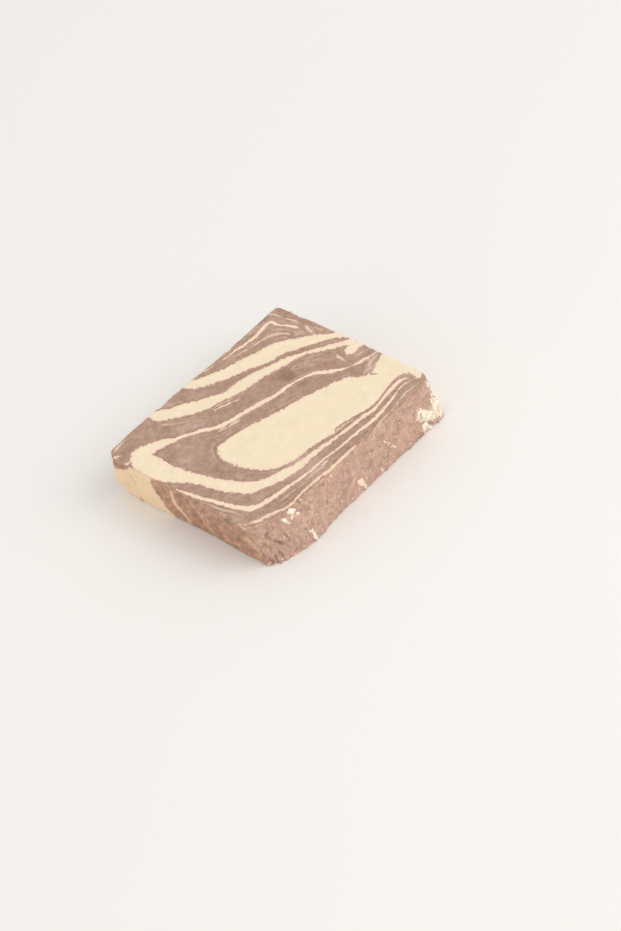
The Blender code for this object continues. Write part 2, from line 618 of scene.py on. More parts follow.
    def skin(self, places: np.ndarray, normals: np.ndarray) -> Skin:
        """Work out what lies where on the surface.

        Args:
            places: Points of the base mesh.
            normals: Its normals.

        Returns:
            The skin.
        """
        flat = np.linalg.norm(normals[:, :2], axis=1, keepdims=True)
        level = normals[:, :2] / np.maximum(flat, 1e-6)
        upper = smooth_step(normals[:, 2], 0.55, 0.95)
        lower = smooth_step(-normals[:, 2], 0.55, 0.95)
        sideways = np.clip(flat[:, 0] * 1.6, 0, 1)
        crust = np.clip(-level[:, 1] * 1.6 - 0.4, 0, 1) * sideways
        crust *= smooth_step(self.thickness - places[:, 2], 0.2, 1.5)
        return Skin(places, normals, level, crust, upper, lower, self.rim_share(places))

    def rim_share(self, places: np.ndarray) -> np.ndarray:
        """How near each point is to the upper edge.

        Args:
            places: Points of the base mesh.

        Returns:
            1 on the edge, falling to 0 about 2 mm away from it.
        """
        ring = self.outline(1.0)
        knots = np.column_stack((ring, np.zeros(len(ring))))[::2]
        near_top = places[:, 2] > self.thickness - 2.5
        distance = np.full(len(places), 9.0)
        half = np.array((self.length, self.width)) / 2 - 4.0
        border = near_top & (np.abs(places[:, :2]) > half).any(axis=1)
        worn = near_top & (places[:, 0] < -25) & (places[:, 1] < -28)
        chosen = border | worn
        level, _, _, _ = nearest_on_path(places[chosen][:, :2], np.vstack((knots, knots[:1])))
        distance[chosen] = np.hypot(level, self.thickness - places[chosen][:, 2])
        return 1 - smooth_step(distance, 0.5, 2.2)


# ---------------------------------------------------------------------------
# Relief
# ---------------------------------------------------------------------------


@dataclass(frozen=True)
class Crease:
    """A crevice in a side: its path along the side and up it, width and depth."""

    side: Side
    path: tuple[Place, ...]
    width: float
    depth: float


CREASES = (
    Crease(Side.FRONT, ((-44.2, 13.2), (-42.6, 11.8), (-41.0, 9.2), (-39.8, 7.6)), 1.0, 1.3),
    Crease(Side.FRONT, ((-45.4, 10.2), (-44.2, 8.4), (-43.8, 6.2)), 0.9, 0.9),
    Crease(Side.FRONT, ((-46.6, 6.4), (-46.0, 3.6), (-45.6, 0.6)), 0.8, 1.2),
    Crease(Side.FRONT, ((-45.0, 3.4), (-44.6, 2.0), (-44.5, 0.4)), 0.7, 1.1),
    Crease(Side.FRONT, ((-43.6, 5.0), (-43.0, 2.8), (-43.1, 0.4)), 0.8, 1.4),
    Crease(Side.FRONT, ((-41.4, 4.2), (-41.0, 2.2), (-41.2, 0.4)), 0.8, 1.2),
    Crease(Side.FRONT, ((-38.6, 3.4), (-38.8, 1.8), (-38.4, 0.4)), 0.7, 0.9),
    Crease(Side.FRONT, ((-39.6, 13.5), (-37.4, 11.0), (-37.0, 8.2), (-38.4, 6.2)), 0.8, 0.8),
    Crease(Side.FRONT, ((-34.6, 8.0), (-32.8, 5.6), (-33.2, 3.2)), 0.8, 0.7),
    Crease(Side.FRONT, ((-32.4, 2.2), (-30.0, 0.8), (-27.4, 1.3)), 0.9, 0.9),
    Crease(Side.FRONT, ((-27.9, 9.4), (-26.2, 8.0), (-25.8, 6.2)), 0.9, 0.8),
    Crease(Side.FRONT, ((35.2, 9.0), (36.6, 4.6), (40.2, 1.2)), 0.8, 0.7),
    Crease(Side.FRONT, ((41.6, 10.8), (42.4, 7.4), (44.2, 4.4)), 0.8, 0.7),
    Crease(Side.LEFT, ((38.4, 17.2), (35.0, 16.8), (32.4, 15.0), (31.0, 12.6), (30.6, 10.6)), 0.9, 1.2),
    Crease(Side.LEFT, ((41.6, 14.8), (40.2, 13.0), (40.6, 10.4)), 0.7, 0.5),
    Crease(Side.LEFT, ((-29.0, 14.5), (-30.6, 9.0), (-33.0, 4.0)), 0.8, 0.4),
    Crease(Side.BACK, ((-31.0, 17.0), (-27.0, 14.6), (-24.6, 11.0)), 0.8, 0.6),
    Crease(Side.RIGHT, ((30.0, 17.0), (32.4, 12.0), (31.0, 7.4)), 0.8, 0.5),
)


@dataclass
class Relief:
    """Unevenness of the crust, of the cut faces and of the edges."""

    seed: int = 5
    lump_size: float = 6.0
    lumps: float = 0.55
    crumb_size: float = 2.4
    crumbs: float = 0.26
    grain_size: float = 1.1
    grain: float = 0.11
    loose_corner: Place = (-44.0, -38.0)
    loose_reach: float = 13.0
    loose: float = 1.5
    pit_size: float = 4.4
    pits: float = 0.6
    drag: float = 0.18
    drag_lines: float = 0.035
    torn: float = 0.30
    knife_waves: float = 0.10
    face_grain: float = 0.05
    chips: float = 0.75
    plate_size: float = 2.6
    plates: float = 0.6

    def __post_init__(self) -> None:
        """Draw the noise."""
        self.noise = SmoothNoise(self.seed)
        self.cells = CrumbNoise(self.seed + 1)

    def of_crust(self, places: np.ndarray) -> np.ndarray:
        """Rise of the crumbly outside.

        Args:
            places: Points, one a row.

        Returns:
            A height for each point.
        """
        rise = self.lumps * self.noise.layered(places / self.lump_size, 2)
        away = np.linalg.norm(places[:, :2] - np.array(self.loose_corner), axis=1)
        loosened = 1 + self.loose * (1 - smooth_step(away, 4.0, self.loose_reach))
        near, far, tone = self.cells.at(places / self.crumb_size)
        rise += loosened * self.crumbs * (smooth_step(far - near, 0.0, 0.45) - 0.6) * (0.5 + tone)
        near, far, tone = self.cells.at(places / self.grain_size + 31.0)
        rise += self.grain * (smooth_step(far - near, 0.0, 0.5) - 0.5) * (0.4 + 1.2 * tone)
        near, _, tone = self.cells.at(places / self.pit_size + 57.0)
        rise -= self.pits * (tone < 0.26) * smooth_step(0.34 - near, 0.0, 0.25)
        return rise

    def of_cut_side(self, places: np.ndarray) -> np.ndarray:
        """Rise of a side that the knife has cut and dragged.

        Args:
            places: Points, one a row.

        Returns:
            A height for each point.
        """
        tall = places * np.array((1.0, 1.0, 0.7)) / self.lump_size
        rise = self.drag * self.noise.at(tall)
        lines = places * np.array((1.0, 1.0, 0.6)) / 1.8
        rise += self.drag_lines * self.noise.layered(lines, 2)
        tears = smooth_step(self.noise.at(places / 5.5 + 9.0), 0.05, 0.45)
        near, far, tone = self.cells.at(places * np.array((1.0, 1.0, 0.6)) / 1.7 + 5.0)
        rise -= self.torn * tears * (1 - smooth_step(far - near, 0.0, 0.5)) * (0.5 + tone)
        return rise

    def of_face(self, places: np.ndarray) -> np.ndarray:
        """Rise of the flat cut face.

        Args:
            places: Points, one a row.

        Returns:
            A height for each point.
        """
        waves = places * np.array((1.0, 2.2, 0.0)) / 17.0
        rise = self.knife_waves * (self.noise.at(waves) - 1)
        rise += self.face_grain * self.noise.layered(places / 1.2 + 3.0, 2)
        near, _, tone = self.cells.at(places / 3.1 + 11.0)
        rise -= 0.22 * (tone < 0.16) * smooth_step(0.24 - near, 0.0, 0.16)
        return rise

    def of_tears(self, places: np.ndarray, torn: np.ndarray) -> np.ndarray:
        """Plates of paste that stand out where the crust is torn.

        Args:
            places: Points, one a row.
            torn: Distance inside the torn areas.

        Returns:
            A height for each point.
        """
        warped = places + 0.5 * self.noise.at(places / 1.7 + 3.0)[:, None]
        near, far, tone = self.cells.at(warped * np.array((1.0, 1.0, 1.3)) / self.plate_size + 77.0)
        inside = smooth_step(torn, -0.6, 0.8)
        return inside * self.plates * ((tone - 0.35) * smooth_step(far - near, 0.0, 0.25) - 0.1)

    def of_edges(self, skin: Skin) -> np.ndarray:
        """Crumbs chipped off along the upper edge.

        Args:
            skin: The surface.

        Returns:
            A depth for each point.
        """
        scoop = smooth_step(self.noise.layered(skin.places / 2.3 + 23.0, 2), 0.15, 1.0)
        notch = smooth_step(self.noise.at(skin.places / 0.95 + 41.0), 0.2, 0.9)
        worn = 0.38 + 0.6 * skin.crust + 0.5 * (skin.level[:, 0] < -0.7)
        return self.chips * skin.rim * worn * (scoop + 0.4 * notch)

    def of_creases(self, skin: Skin) -> np.ndarray:
        """Depth of the crevices.

        Args:
            skin: The surface.

        Returns:
            A depth for each point.
        """
        wander = 0.5 * self.noise.at(skin.places / 2.0 + 71.0)
        depth = np.zeros(len(skin.places))
        for crease in CREASES:
            facing, spots = side_view(skin, crease.side)
            knots = np.array([(*spot, 0.0) for spot in crease.path])
            path = smooth_path(knots, 1.0, closed=False)
            distance, _, _, _ = nearest_on_path(spots, path)
            fall = 1 - smooth_step(np.abs(distance + wander * 0.5), 0.1, crease.width)
            depth += crease.depth * fall * facing
        return depth

    def height(self, skin: Skin, form: SliceForm, torn: np.ndarray) -> np.ndarray:
        """Whole relief along the surface's normals.

        Args:
            skin: The surface.
            form: The slice's form, for its broken places.
            torn: Distance inside the torn areas of the crust.

        Returns:
            A height for each point; 0 on the face that the slice lies on.
        """
        beside = 1 - skin.upper
        broken = form.broken(skin.places)
        rough = 1 + 0.5 * self.noise.layered(skin.places / 1.5 + 87.0, 2)
        rise = skin.upper * self.of_face(skin.places)
        rise += beside * skin.crust * self.of_crust(skin.places)
        rise += beside * (1 - skin.crust) * self.of_cut_side(skin.places)
        rise += beside * self.of_tears(skin.places, torn)
        rise -= broken * rough * (0.55 * skin.upper + beside)
        rise -= self.of_edges(skin) + self.of_creases(skin)
        return rise * (1 - skin.lower)


def side_view(skin: Skin, side: Side) -> tuple[np.ndarray, np.ndarray]:
    """See the surface from one side.

    Args:
        skin: The surface.
        side: Which side.

    Returns:
        How far each point faces that way, and its place along the side and up it.
    """
    outward = {Side.BACK: (0, 1), Side.RIGHT: (1, 0), Side.FRONT: (0, -1), Side.LEFT: (-1, 0)}
    facing = smooth_step(skin.level @ np.array(outward[side]), 0.35, 0.7) * (1 - skin.upper)
    along = skin.places[:, 0] if side in (Side.BACK, Side.FRONT) else skin.places[:, 1]
    return facing, np.column_stack((along, skin.places[:, 2]))


# ---------------------------------------------------------------------------
# Marbling
# ---------------------------------------------------------------------------


class Layer(Enum):
    """Attribute that carries a line of paste. Lines close together take turns."""

    VEIN_A = "vein_a"
    VEIN_B = "vein_b"
    SEAM = "seam"


@dataclass(frozen=True)
class Pool:
    """A closed area of pale paste on the cut face."""

    outline: tuple[Place, ...]

    def margin(self, places: np.ndarray) -> np.ndarray:
        """Distance inside the pool, less than 0 outside.

        Args:
            places: Points of the cut face, one a row.

        Returns:
            A distance for each point.
        """
        knots = np.array([(*spot, 0.0) for spot in self.outline])
        path = smooth_path(knots, 0.8, closed=True)
        distance, _, _, inside = nearest_on_path(places, path)
        return np.where(inside, distance, -distance)


@dataclass(frozen=True)
class Strand:
    """A line of paste: knots of place and width, its layer and how pale it is."""

    layer: Layer
    knots: tuple[Knot, ...]
    strength: float = 1.0

    def across(self, places: np.ndarray) -> tuple[np.ndarray, np.ndarray]:
        """Distance from the middle of the line, with a sign for its side.

        Args:
            places: Points, one a row.

        Returns:
            That distance, and half the line's width there.
        """
        path = smooth_path(np.array(self.knots), 0.8, closed=False)
        _, signed, width, _ = nearest_on_path(places, path)
        return signed, width / 2


CORE = Pool((
    (-25.8, -2), (-25, 2.5), (-22, 6.5), (-17, 6.0), (-14.5, 5.8), (-9, 4.4), (-2, 1.5), (7, -1.6),
    (15, -4), (22, -7.2), (30, -11), (33, -15), (36, -17.7), (40, -16.8), (44, -15.3),
    (54, -15.3), (54, -31), (48, -34), (45, -36.8), (43, -35.5), (44.3, -33), (43.3, -30),
    (40, -28.5), (33, -29), (28, -30.4), (22, -30.3), (16, -29.5), (11, -28.7), (7, -28.2),
    (2, -26.8), (-4, -25.2), (-11, -24.7), (-16, -23), (-20.5, -19.5), (-23, -15.5), (-25, -9.5),
))

HAIRPIN = Strand(Layer.VEIN_A, (
    (52, -12.8, 0.5), (46.5, -11.8, 0.5), (43.3, -11.1, 1.0), (39.3, -9.9, 1.4), (35.4, -8.2, 0.5),
    (33, -6.6, 1.1), (29.2, -2.6, 2.0), (26, 1.6, 1.8), (21.5, 4, 1.1), (18.5, 5, 0.9),
    (15, 5.8, 1.5), (10, 6.5, 1.7), (2.5, 8.8, 2.1), (-4, 11, 1.7), (-8, 11.9, 2.2),
    (-12, 13.3, 2.1), (-15.5, 15.2, 1.9), (-18.5, 18.2, 2.0), (-24, 22.2, 1.6), (-27.5, 24.3, 2.4),
    (-31, 26.9, 4.4), (-35, 28.8, 5.6), (-39.3, 29.8, 8.4), (-41.7, 26, 9.5), (-42.4, 20, 9.6),
    (-41.9, 14, 8.2), (-40.4, 8.5, 6.8), (-38.4, 2.5, 5.1), (-37, -4, 5.0), (-35.5, -10, 5.7),
    (-33.7, -15, 5.6), (-31.3, -19.6, 6.0), (-26, -23.4, 4.7), (-21, -25.7, 4.8), (-16, -27.5, 4.2),
    (-11, -28.1, 3.0), (-6, -28.4, 2.4), (0, -29.3, 1.9), (5, -30, 1.3), (10, -30.9, 1.7),
    (14, -30.9, 2.0), (18, -31.5, 2.0), (22, -32.3, 1.6), (26, -31.9, 1.2), (33, -30.9, 1.9),
    (37.5, -30.5, 1.7), (40, -31.0, 1.2), (41.3, -32.0, 0.7), (41.6, -33.2, 0.2),
))

SECOND_FOLD = Strand(Layer.VEIN_B, (
    (-20.9, 50, 3.6), (-21.3, 46, 3.8), (-22.2, 43, 3.6), (-21, 39.5, 5.9), (-18.3, 36, 6.1),
    (-14.5, 33, 6.6), (-8, 28, 6.5), (-4, 26.1, 5.1), (0, 23.6, 4.0), (5, 22.4, 5.8),
    (10, 21.7, 5.7), (15, 20, 4.8), (22, 17.4, 3.6), (26, 16.1, 3.4), (30, 14, 2.2),
    (33, 12.1, 1.7), (36, 9.4, 2.4), (39, 6.9, 2.7), (42, 4.2, 3.0), (44.5, 1.5, 4.5),
    (47, -0.8, 5.6), (52, -2.6, 6.0),
))

SECOND_FOLD_END = Strand(Layer.VEIN_A, ((42.4, -2, 4.4), (45, -1.6, 5.6), (52, -1.5, 6.0)))

THIRD_FOLD = Strand(Layer.VEIN_A, (
    (-5, 50, 3.0), (-4.4, 46, 3.0), (-3.6, 42, 3.3), (-2.2, 39.4, 4.8), (1.7, 36.4, 5.4),
    (9, 32.3, 6.0), (14, 30.1, 6.4), (18, 28.6, 6.8), (22, 25.9, 8.3), (27, 24.6, 8.1),
    (31.2, 22.3, 6.9), (35, 19, 6.3), (38.7, 15.9, 5.2), (42, 12.4, 4.0), (45, 9.8, 3.1),
    (48, 6.6, 4.6), (53, 2.4, 5.0),
))

CORNER_BEND = Strand(Layer.VEIN_B, (
    (13.6, 38.9, 0.3), (15, 38.5, 0.6), (20, 38.2, 0.9), (24, 37.2, 1.4), (31, 36.8, 1.5),
    (34, 37.2, 1.3), (37, 37.5, 1.5), (38.6, 36.8, 1.5), (38.7, 34.5, 1.2), (39.3, 32, 0.8),
    (40.3, 29.5, 1.0), (41.1, 27.5, 1.4), (41.3, 25.6, 0.8),
))

LOWER_LINE = Strand(Layer.VEIN_B, (
    (-50, 11, 1.0), (-47, 5, 1.2), (-46, 2, 1.3), (-45, -5, 1.5), (-43.5, -12, 1.6),
    (-42, -19, 1.7), (-40, -25.5, 2.2), (-38, -28.5, 2.8), (-34, -30.2, 2.2), (-26, -31.6, 1.8),
    (-22, -32.2, 1.4), (-15, -33.5, 1.0), (-5, -34, 0.9), (0, -34.8, 0.9), (10, -35.3, 1.2),
    (15, -36, 1.7), (20, -36.1, 1.7), (24, -35.8, 1.4), (28, -35.2, 1.3), (31, -34.6, 1.0),
    (33, -33.9, 0.6), (37, -33.3, 0.6), (39.5, -33.6, 0.5), (40.8, -34.4, 0.2),
))

EDGE_LINE = Strand(Layer.VEIN_A, (
    (-51, -28, 1.0), (-47, -31, 1.2), (-45, -32.8, 1.3), (-42, -34.5, 1.4), (-39, -35.6, 1.5),
    (-35.5, -37, 1.2), (-32, -38.6, 1.2), (-26, -38.8, 1.0), (-14, -38.9, 1.0), (-9, -39.6, 0.9),
    (0, -39.4, 0.9), (3.6, -39.4, 0.8), (5.4, -39.6, 0.2),
), 0.85)

FAINT_LINES = (
    Strand(Layer.VEIN_A, ((12, -40.2, 0.3), (17, -39.6, 0.7), (22, -38.9, 0.8), (25, -39, 0.2)), 0.5),
    Strand(Layer.VEIN_A, ((25.6, -38.9, 0.3), (30, -37.9, 0.7), (35, -37.1, 0.9), (40.3, -37.7, 0.4)), 0.6),
    Strand(Layer.VEIN_A, ((-9.8, -36, 0.3), (-8.4, -35.8, 1.3), (-6.8, -35.6, 1.2), (-5.6, -35.4, 0.3)), 0.6),
    Strand(Layer.VEIN_A, ((-17, -35.7, 0.2), (-14, -35.6, 0.7), (-11, -35.9, 0.7), (-9.6, -36.8, 0.2)), 0.5),
    Strand(Layer.VEIN_B, ((-31, -34.4, 0.2), (-28, -34.8, 0.6), (-22, -35.5, 0.6), (-18, -36.2, 0.2)), 0.45),
    Strand(Layer.VEIN_B, ((-8.4, 22.1, 0.3), (-7, 21.5, 0.8), (-3.9, 20.3, 0.9), (0.9, 17.6, 0.3)), 0.85),
    Strand(Layer.VEIN_A, ((-24.4, 34.4, 0.2), (-23.3, 33.2, 0.6), (-21.1, 30.3, 0.6), (-19, 28, 0.2)), 0.5),
    Strand(Layer.VEIN_B, ((-11.8, 10.7, 0.4), (-10, 10.5, 1.7), (-8.4, 10, 1.6), (-7.2, 9.6, 0.4)), 0.65),
    Strand(Layer.VEIN_B, ((-15.6, 12.2, 0.3), (-14.4, 12, 1.1), (-13, 11.3, 1.0), (-12, 10.9, 0.3)), 0.5),
    Strand(Layer.VEIN_B, ((-27, 20, 0.2), (-22, 14.5, 0.5), (-17, 10.6, 0.4), (-14, 9.2, 0.2)), 0.22),
    Strand(Layer.VEIN_B, (
        (17.5, 35.6, 0.2), (20.8, 35, 0.7), (24.6, 33.9, 0.7), (29.4, 32.8, 0.8), (31.8, 32.1, 1.0),
        (34.3, 30.5, 1.1), (36.7, 27.2, 0.9), (37, 25, 0.3),
    ), 0.65),
    Strand(Layer.VEIN_A, (
        (41.4, 41.6, 0.4), (42.3, 38.4, 1.0), (42.6, 36, 0.6), (42.8, 33.3, 0.5), (43.6, 29.4, 1.0),
        (43.5, 26.6, 0.2),
    ), 0.6),
    Strand(Layer.VEIN_A, ((33.4, 39.7, 0.2), (30, 39.8, 0.6), (25.4, 40, 0.2)), 0.4),
    Strand(Layer.VEIN_B, ((43.8, 23.4, 0.3), (43.2, 21.6, 1.1), (42.6, 19.4, 1.1), (42.2, 17.8, 0.3)), 0.75),
    Strand(Layer.VEIN_B, ((44.8, 19.4, 0.3), (44.9, 17.5, 0.8), (45, 15.8, 0.3)), 0.5),
    Strand(Layer.VEIN_B, ((37.8, 1.4, 0.3), (37.4, -0.4, 1.0), (36.9, -2.8, 1.0), (36.7, -4.4, 0.3)), 0.75),
    Strand(Layer.VEIN_B, ((38.6, -14.7, 0.2), (40, -14, 0.7), (42.8, -13.3, 0.8), (45.6, -13.2, 0.3)), 0.6),
    Strand(Layer.VEIN_A, ((35.8, -15.4, 0.4), (37.6, -15.5, 1.7), (39.4, -15.4, 0.5)), 0.45),
    Strand(Layer.VEIN_B, ((24, 10.4, 0.2), (29, 8.4, 0.5), (33, 5.2, 0.5), (35, 2.4, 0.2)), 0.35),
    Strand(Layer.VEIN_B, ((39.4, -4.8, 0.2), (42.4, -6.4, 0.6), (46, -7.6, 0.5), (49, -8.6, 0.3)), 0.5),
    Strand(Layer.VEIN_A, ((4.6, 41.2, 0.3), (6, 40.5, 0.9), (8, 40, 0.7), (9.6, 39.8, 0.2)), 0.6),
    Strand(Layer.VEIN_A, ((-45.7, -10, 0.4), (-44.9, -18, 0.7), (-43.9, -22, 0.7), (-43.2, -27, 0.3)), 0.4),
    Strand(
        Layer.VEIN_A,
        ((-43.8, 41.1, 0.3), (-42, 41.3, 1.0), (-39.6, 41.4, 0.9), (-37.4, 41.5, 0.3)),
        0.65,
    ),
    Strand(Layer.VEIN_B, ((-47.6, 40, 0.6), (-45.8, 38.7, 1.7), (-44.4, 37.8, 0.4)), 0.8),
    Strand(Layer.VEIN_B, ((-47.4, 32.6, 0.4), (-46, 31.5, 1.4), (-44.8, 30.7, 0.4)), 0.8),
)

SEAMS = (
    Strand(Layer.SEAM, (
        (-21.2, -19.9, 0.3), (-18.6, -22.3, 0.9), (-14.5, -24.8, 1.0), (-8, -25.9, 0.9),
        (-4, -26.3, 0.9), (0, -27.3, 0.9), (3, -28.3, 0.8), (7, -28.8, 0.7), (10.5, -29.2, 0.7),
        (13.4, -29.8, 0.7), (17.4, -30.6, 0.4),
    )),
    Strand(Layer.SEAM, (
        (6.6, -27.6, 0.3), (8.1, -27, 0.8), (11.1, -27.3, 1.0), (14, -28.1, 1.0), (18, -29.4, 1.0),
        (22, -30.8, 0.9), (26, -31.1, 0.8), (30, -30.2, 0.8), (33, -29.6, 0.8), (36, -29.3, 0.8),
        (39.7, -28.8, 0.8), (41.8, -29.6, 0.9), (43.1, -31, 0.9), (43.1, -33, 0.9),
        (41.9, -35, 0.8), (41.4, -36.4, 0.4),
    )),
    Strand(Layer.SEAM, ((41.2, 2.8, 0.3), (42.5, 1.4, 1.3), (43.4, 0.6, 0.3)), 0.9),
    Strand(Layer.SEAM, ((36.8, -17.2, 0.3), (36.7, -18.6, 1.3), (37.4, -20, 0.3)), 0.75),
)

LEFT_SIDE_POOL = Pool((
    (46, 13.0), (42, 14.6), (37, 15.8), (33, 17.6), (30, 20.4), (28, 23), (16.5, 23),
    (18.8, 19), (19.4, 15), (18.6, 10), (17.2, 5), (16.2, -2), (46, -2),
))

LEFT_SIDE_LINES = (
    Strand(Layer.VEIN_A, (
        (7.8, 19.6, 0.3), (8.6, 17, 1.4), (9.4, 14, 1.8), (9.6, 11, 2.6), (8.2, 8, 2.4),
        (6.4, 5, 1.6), (5.6, 2, 0.6),
    ), 0.7),
    Strand(Layer.VEIN_B, ((-0.6, 18.6, 0.5), (-2.4, 15, 2.6), (-3.8, 11, 2.2), (-4.4, 7, 0.6)), 0.3),
    Strand(Layer.VEIN_A, ((-28.6, 20.6, 0.9), (-30.2, 19.6, 2.0), (-32, 18.4, 0.8)), 0.6),
    Strand(Layer.VEIN_A, ((-28.6, 15, 0.6), (-30.6, 12, 3.0), (-32.6, 8.6, 2.2), (-33.6, 5, 0.6)), 0.35),
    Strand(Layer.VEIN_B, ((-35, 15, 0.4), (-36.8, 10, 1.3), (-38.6, 5.6, 1.2), (-39.4, 2, 0.4)), 0.45),
    Strand(Layer.VEIN_A, ((-38.8, 16, 0.3), (-40.4, 11, 1.0), (-41.8, 6, 0.9), (-42.4, 2, 0.3)), 0.4),
    Strand(Layer.VEIN_B, ((-13, 13.6, 0.3), (-14.6, 9, 1.0), (-16.4, 4, 0.8), (-17, 2, 0.3)), 0.25),
    Strand(Layer.VEIN_A, ((-19.6, 6, 0.4), (-21.4, 4, 1.8), (-23.2, 2.4, 0.5)), 0.35),
    Strand(Layer.VEIN_A, ((-6, 6, 0.4), (-7.2, 4, 1.6), (-8.4, 2.4, 0.5)), 0.35),
    Strand(Layer.SEAM, (
        (37.6, 17.2, 0.4), (34.8, 16.8, 1.0), (32.4, 15, 1.1), (31, 12.6, 1.0), (30.6, 10.8, 0.3),
    ), 0.75),
    Strand(Layer.SEAM, ((29.4, 19.6, 0.3), (28.2, 18, 0.7), (27.6, 15.6, 0.3)), 0.35),
)

TORN_PATCHES = (
    Pool((
        (35.3, 7.0), (35.6, 9.6), (37.4, 11.4), (39.6, 10.2), (40.6, 8.2), (42.6, 8.6), (44.6, 11),
        (48, 12.8), (52, 13), (52, 4), (48.6, 2.6), (46, 1.2), (43, 2.2), (40.4, 3.6), (38, 5.2),
    )),
    Pool(((36.2, 3.4), (38.2, 4.2), (40, 2.6), (39.6, 0.8), (37, 0.8))),
    Pool(((45.4, 22), (44.4, 19), (45.8, 16), (46.8, 13), (52, 12), (52, 22))),
)


@dataclass
class Marbling:
    """Folds of pale paste in the cocoa paste, and how they lie on each side."""

    origin: Place = (-1.2, -0.5)
    lean: Place = (0.04, 0.09)
    wander: float = 2.2
    cut_off: float = 1.2
    far: float = 4.0
    seed: int = 23

    def on_cut(self, skin: Skin, thickness: float) -> np.ndarray:
        """Place of each point in the pattern of the upper cut face.

        Args:
            skin: The surface.
            thickness: Thickness of the slice.

        Returns:
            Places in the pattern. Below the face the folds lean and wander a little.
        """
        noise = SmoothNoise(self.seed)
        depth = (thickness - skin.places[:, 2])[:, None]
        slow = skin.places * np.array((1.0, 1.0, 0.7)) / 11.0
        drift = np.column_stack((noise.at(slow), noise.at(slow + 40.0)))
        share = np.clip(depth / thickness, 0, 1)
        flat = skin.places[:, :2] - np.array(self.origin)
        return flat + depth * np.array(self.lean) + self.wander * share * drift

    def carry(self, strands: tuple[Strand, ...], layer: Layer, places: np.ndarray) -> np.ndarray:
        """Put every line of one layer on the surface.

        Args:
            strands: Lines of paste.
            layer: The layer wanted.
            places: Points in the lines' own plane.

        Returns:
            For each point the signed distance across the nearest line, half its width
            and its strength.
        """
        margin = np.full(len(places), -self.far)
        carried = np.tile((0.0, -self.far, 0.0), (len(places), 1))
        for strand in strands:
            if strand.layer is not layer:
                continue
            knots = np.array(strand.knots)
            reach = knots[:, 2].max() / 2 + 2 * self.cut_off
            low = knots[:, :2].min(axis=0) - reach
            high = knots[:, :2].max(axis=0) + reach
            close = ((places > low) & (places < high)).all(axis=1)
            signed, half = strand.across(places[close])
            inside = half - np.abs(signed)
            numbers = np.flatnonzero(close)
            wins = (inside > margin[close]) & (inside > -self.cut_off)
            chosen = numbers[wins]
            margin[chosen] = inside[wins]
            carried[chosen] = np.column_stack((signed, half, np.full(len(half), strand.strength)))[wins]
        return carried

    def attributes(self, skin: Skin, form: SliceForm) -> dict[str, np.ndarray]:
        """Everything that the paste's material reads from the mesh.

        Args:
            skin: The surface.
            form: The slice's form.

        Returns:
            Arrays by attribute name, one or three numbers for each point.
        """
        places = self.on_cut(skin, form.thickness)
        folds = (HAIRPIN, SECOND_FOLD, SECOND_FOLD_END, THIRD_FOLD, CORNER_BEND)
        strands = folds + (LOWER_LINE, EDGE_LINE) + FAINT_LINES + SEAMS
        layers = {layer: self.carry(strands, layer, places) for layer in Layer}
        pool = CORE.margin(places)

        origin = np.array((self.origin[1], 0.0))
        facing, spots = side_view(skin, Side.LEFT)
        on_left = facing > 0.5
        pool[on_left] = LEFT_SIDE_POOL.margin(spots[on_left] - origin)
        for layer in Layer:
            layers[layer][on_left] = self.carry(LEFT_SIDE_LINES, layer, spots[on_left] - origin)

        torn = np.full(len(places), -self.far)
        _, spots = side_view(skin, Side.FRONT)
        on_front = skin.crust > 0.02
        origin = np.array((self.origin[0], 0.0))
        for patch in TORN_PATCHES:
            torn[on_front] = np.maximum(torn[on_front], patch.margin(spots[on_front] - origin))
        flow = pool.copy()
        for layer in (Layer.VEIN_A, Layer.VEIN_B):
            flow = np.maximum(flow, layers[layer][:, 1] - np.abs(layers[layer][:, 0]))
        found = {layer.value: values for layer, values in layers.items()}
        found.update(fold=np.clip(pool, -self.far, self.far), flow=flow, torn=torn)
        found.update(crust=skin.crust, broken=form.broken(skin.places))
        return found


# ---------------------------------------------------------------------------
# Node trees
# ---------------------------------------------------------------------------


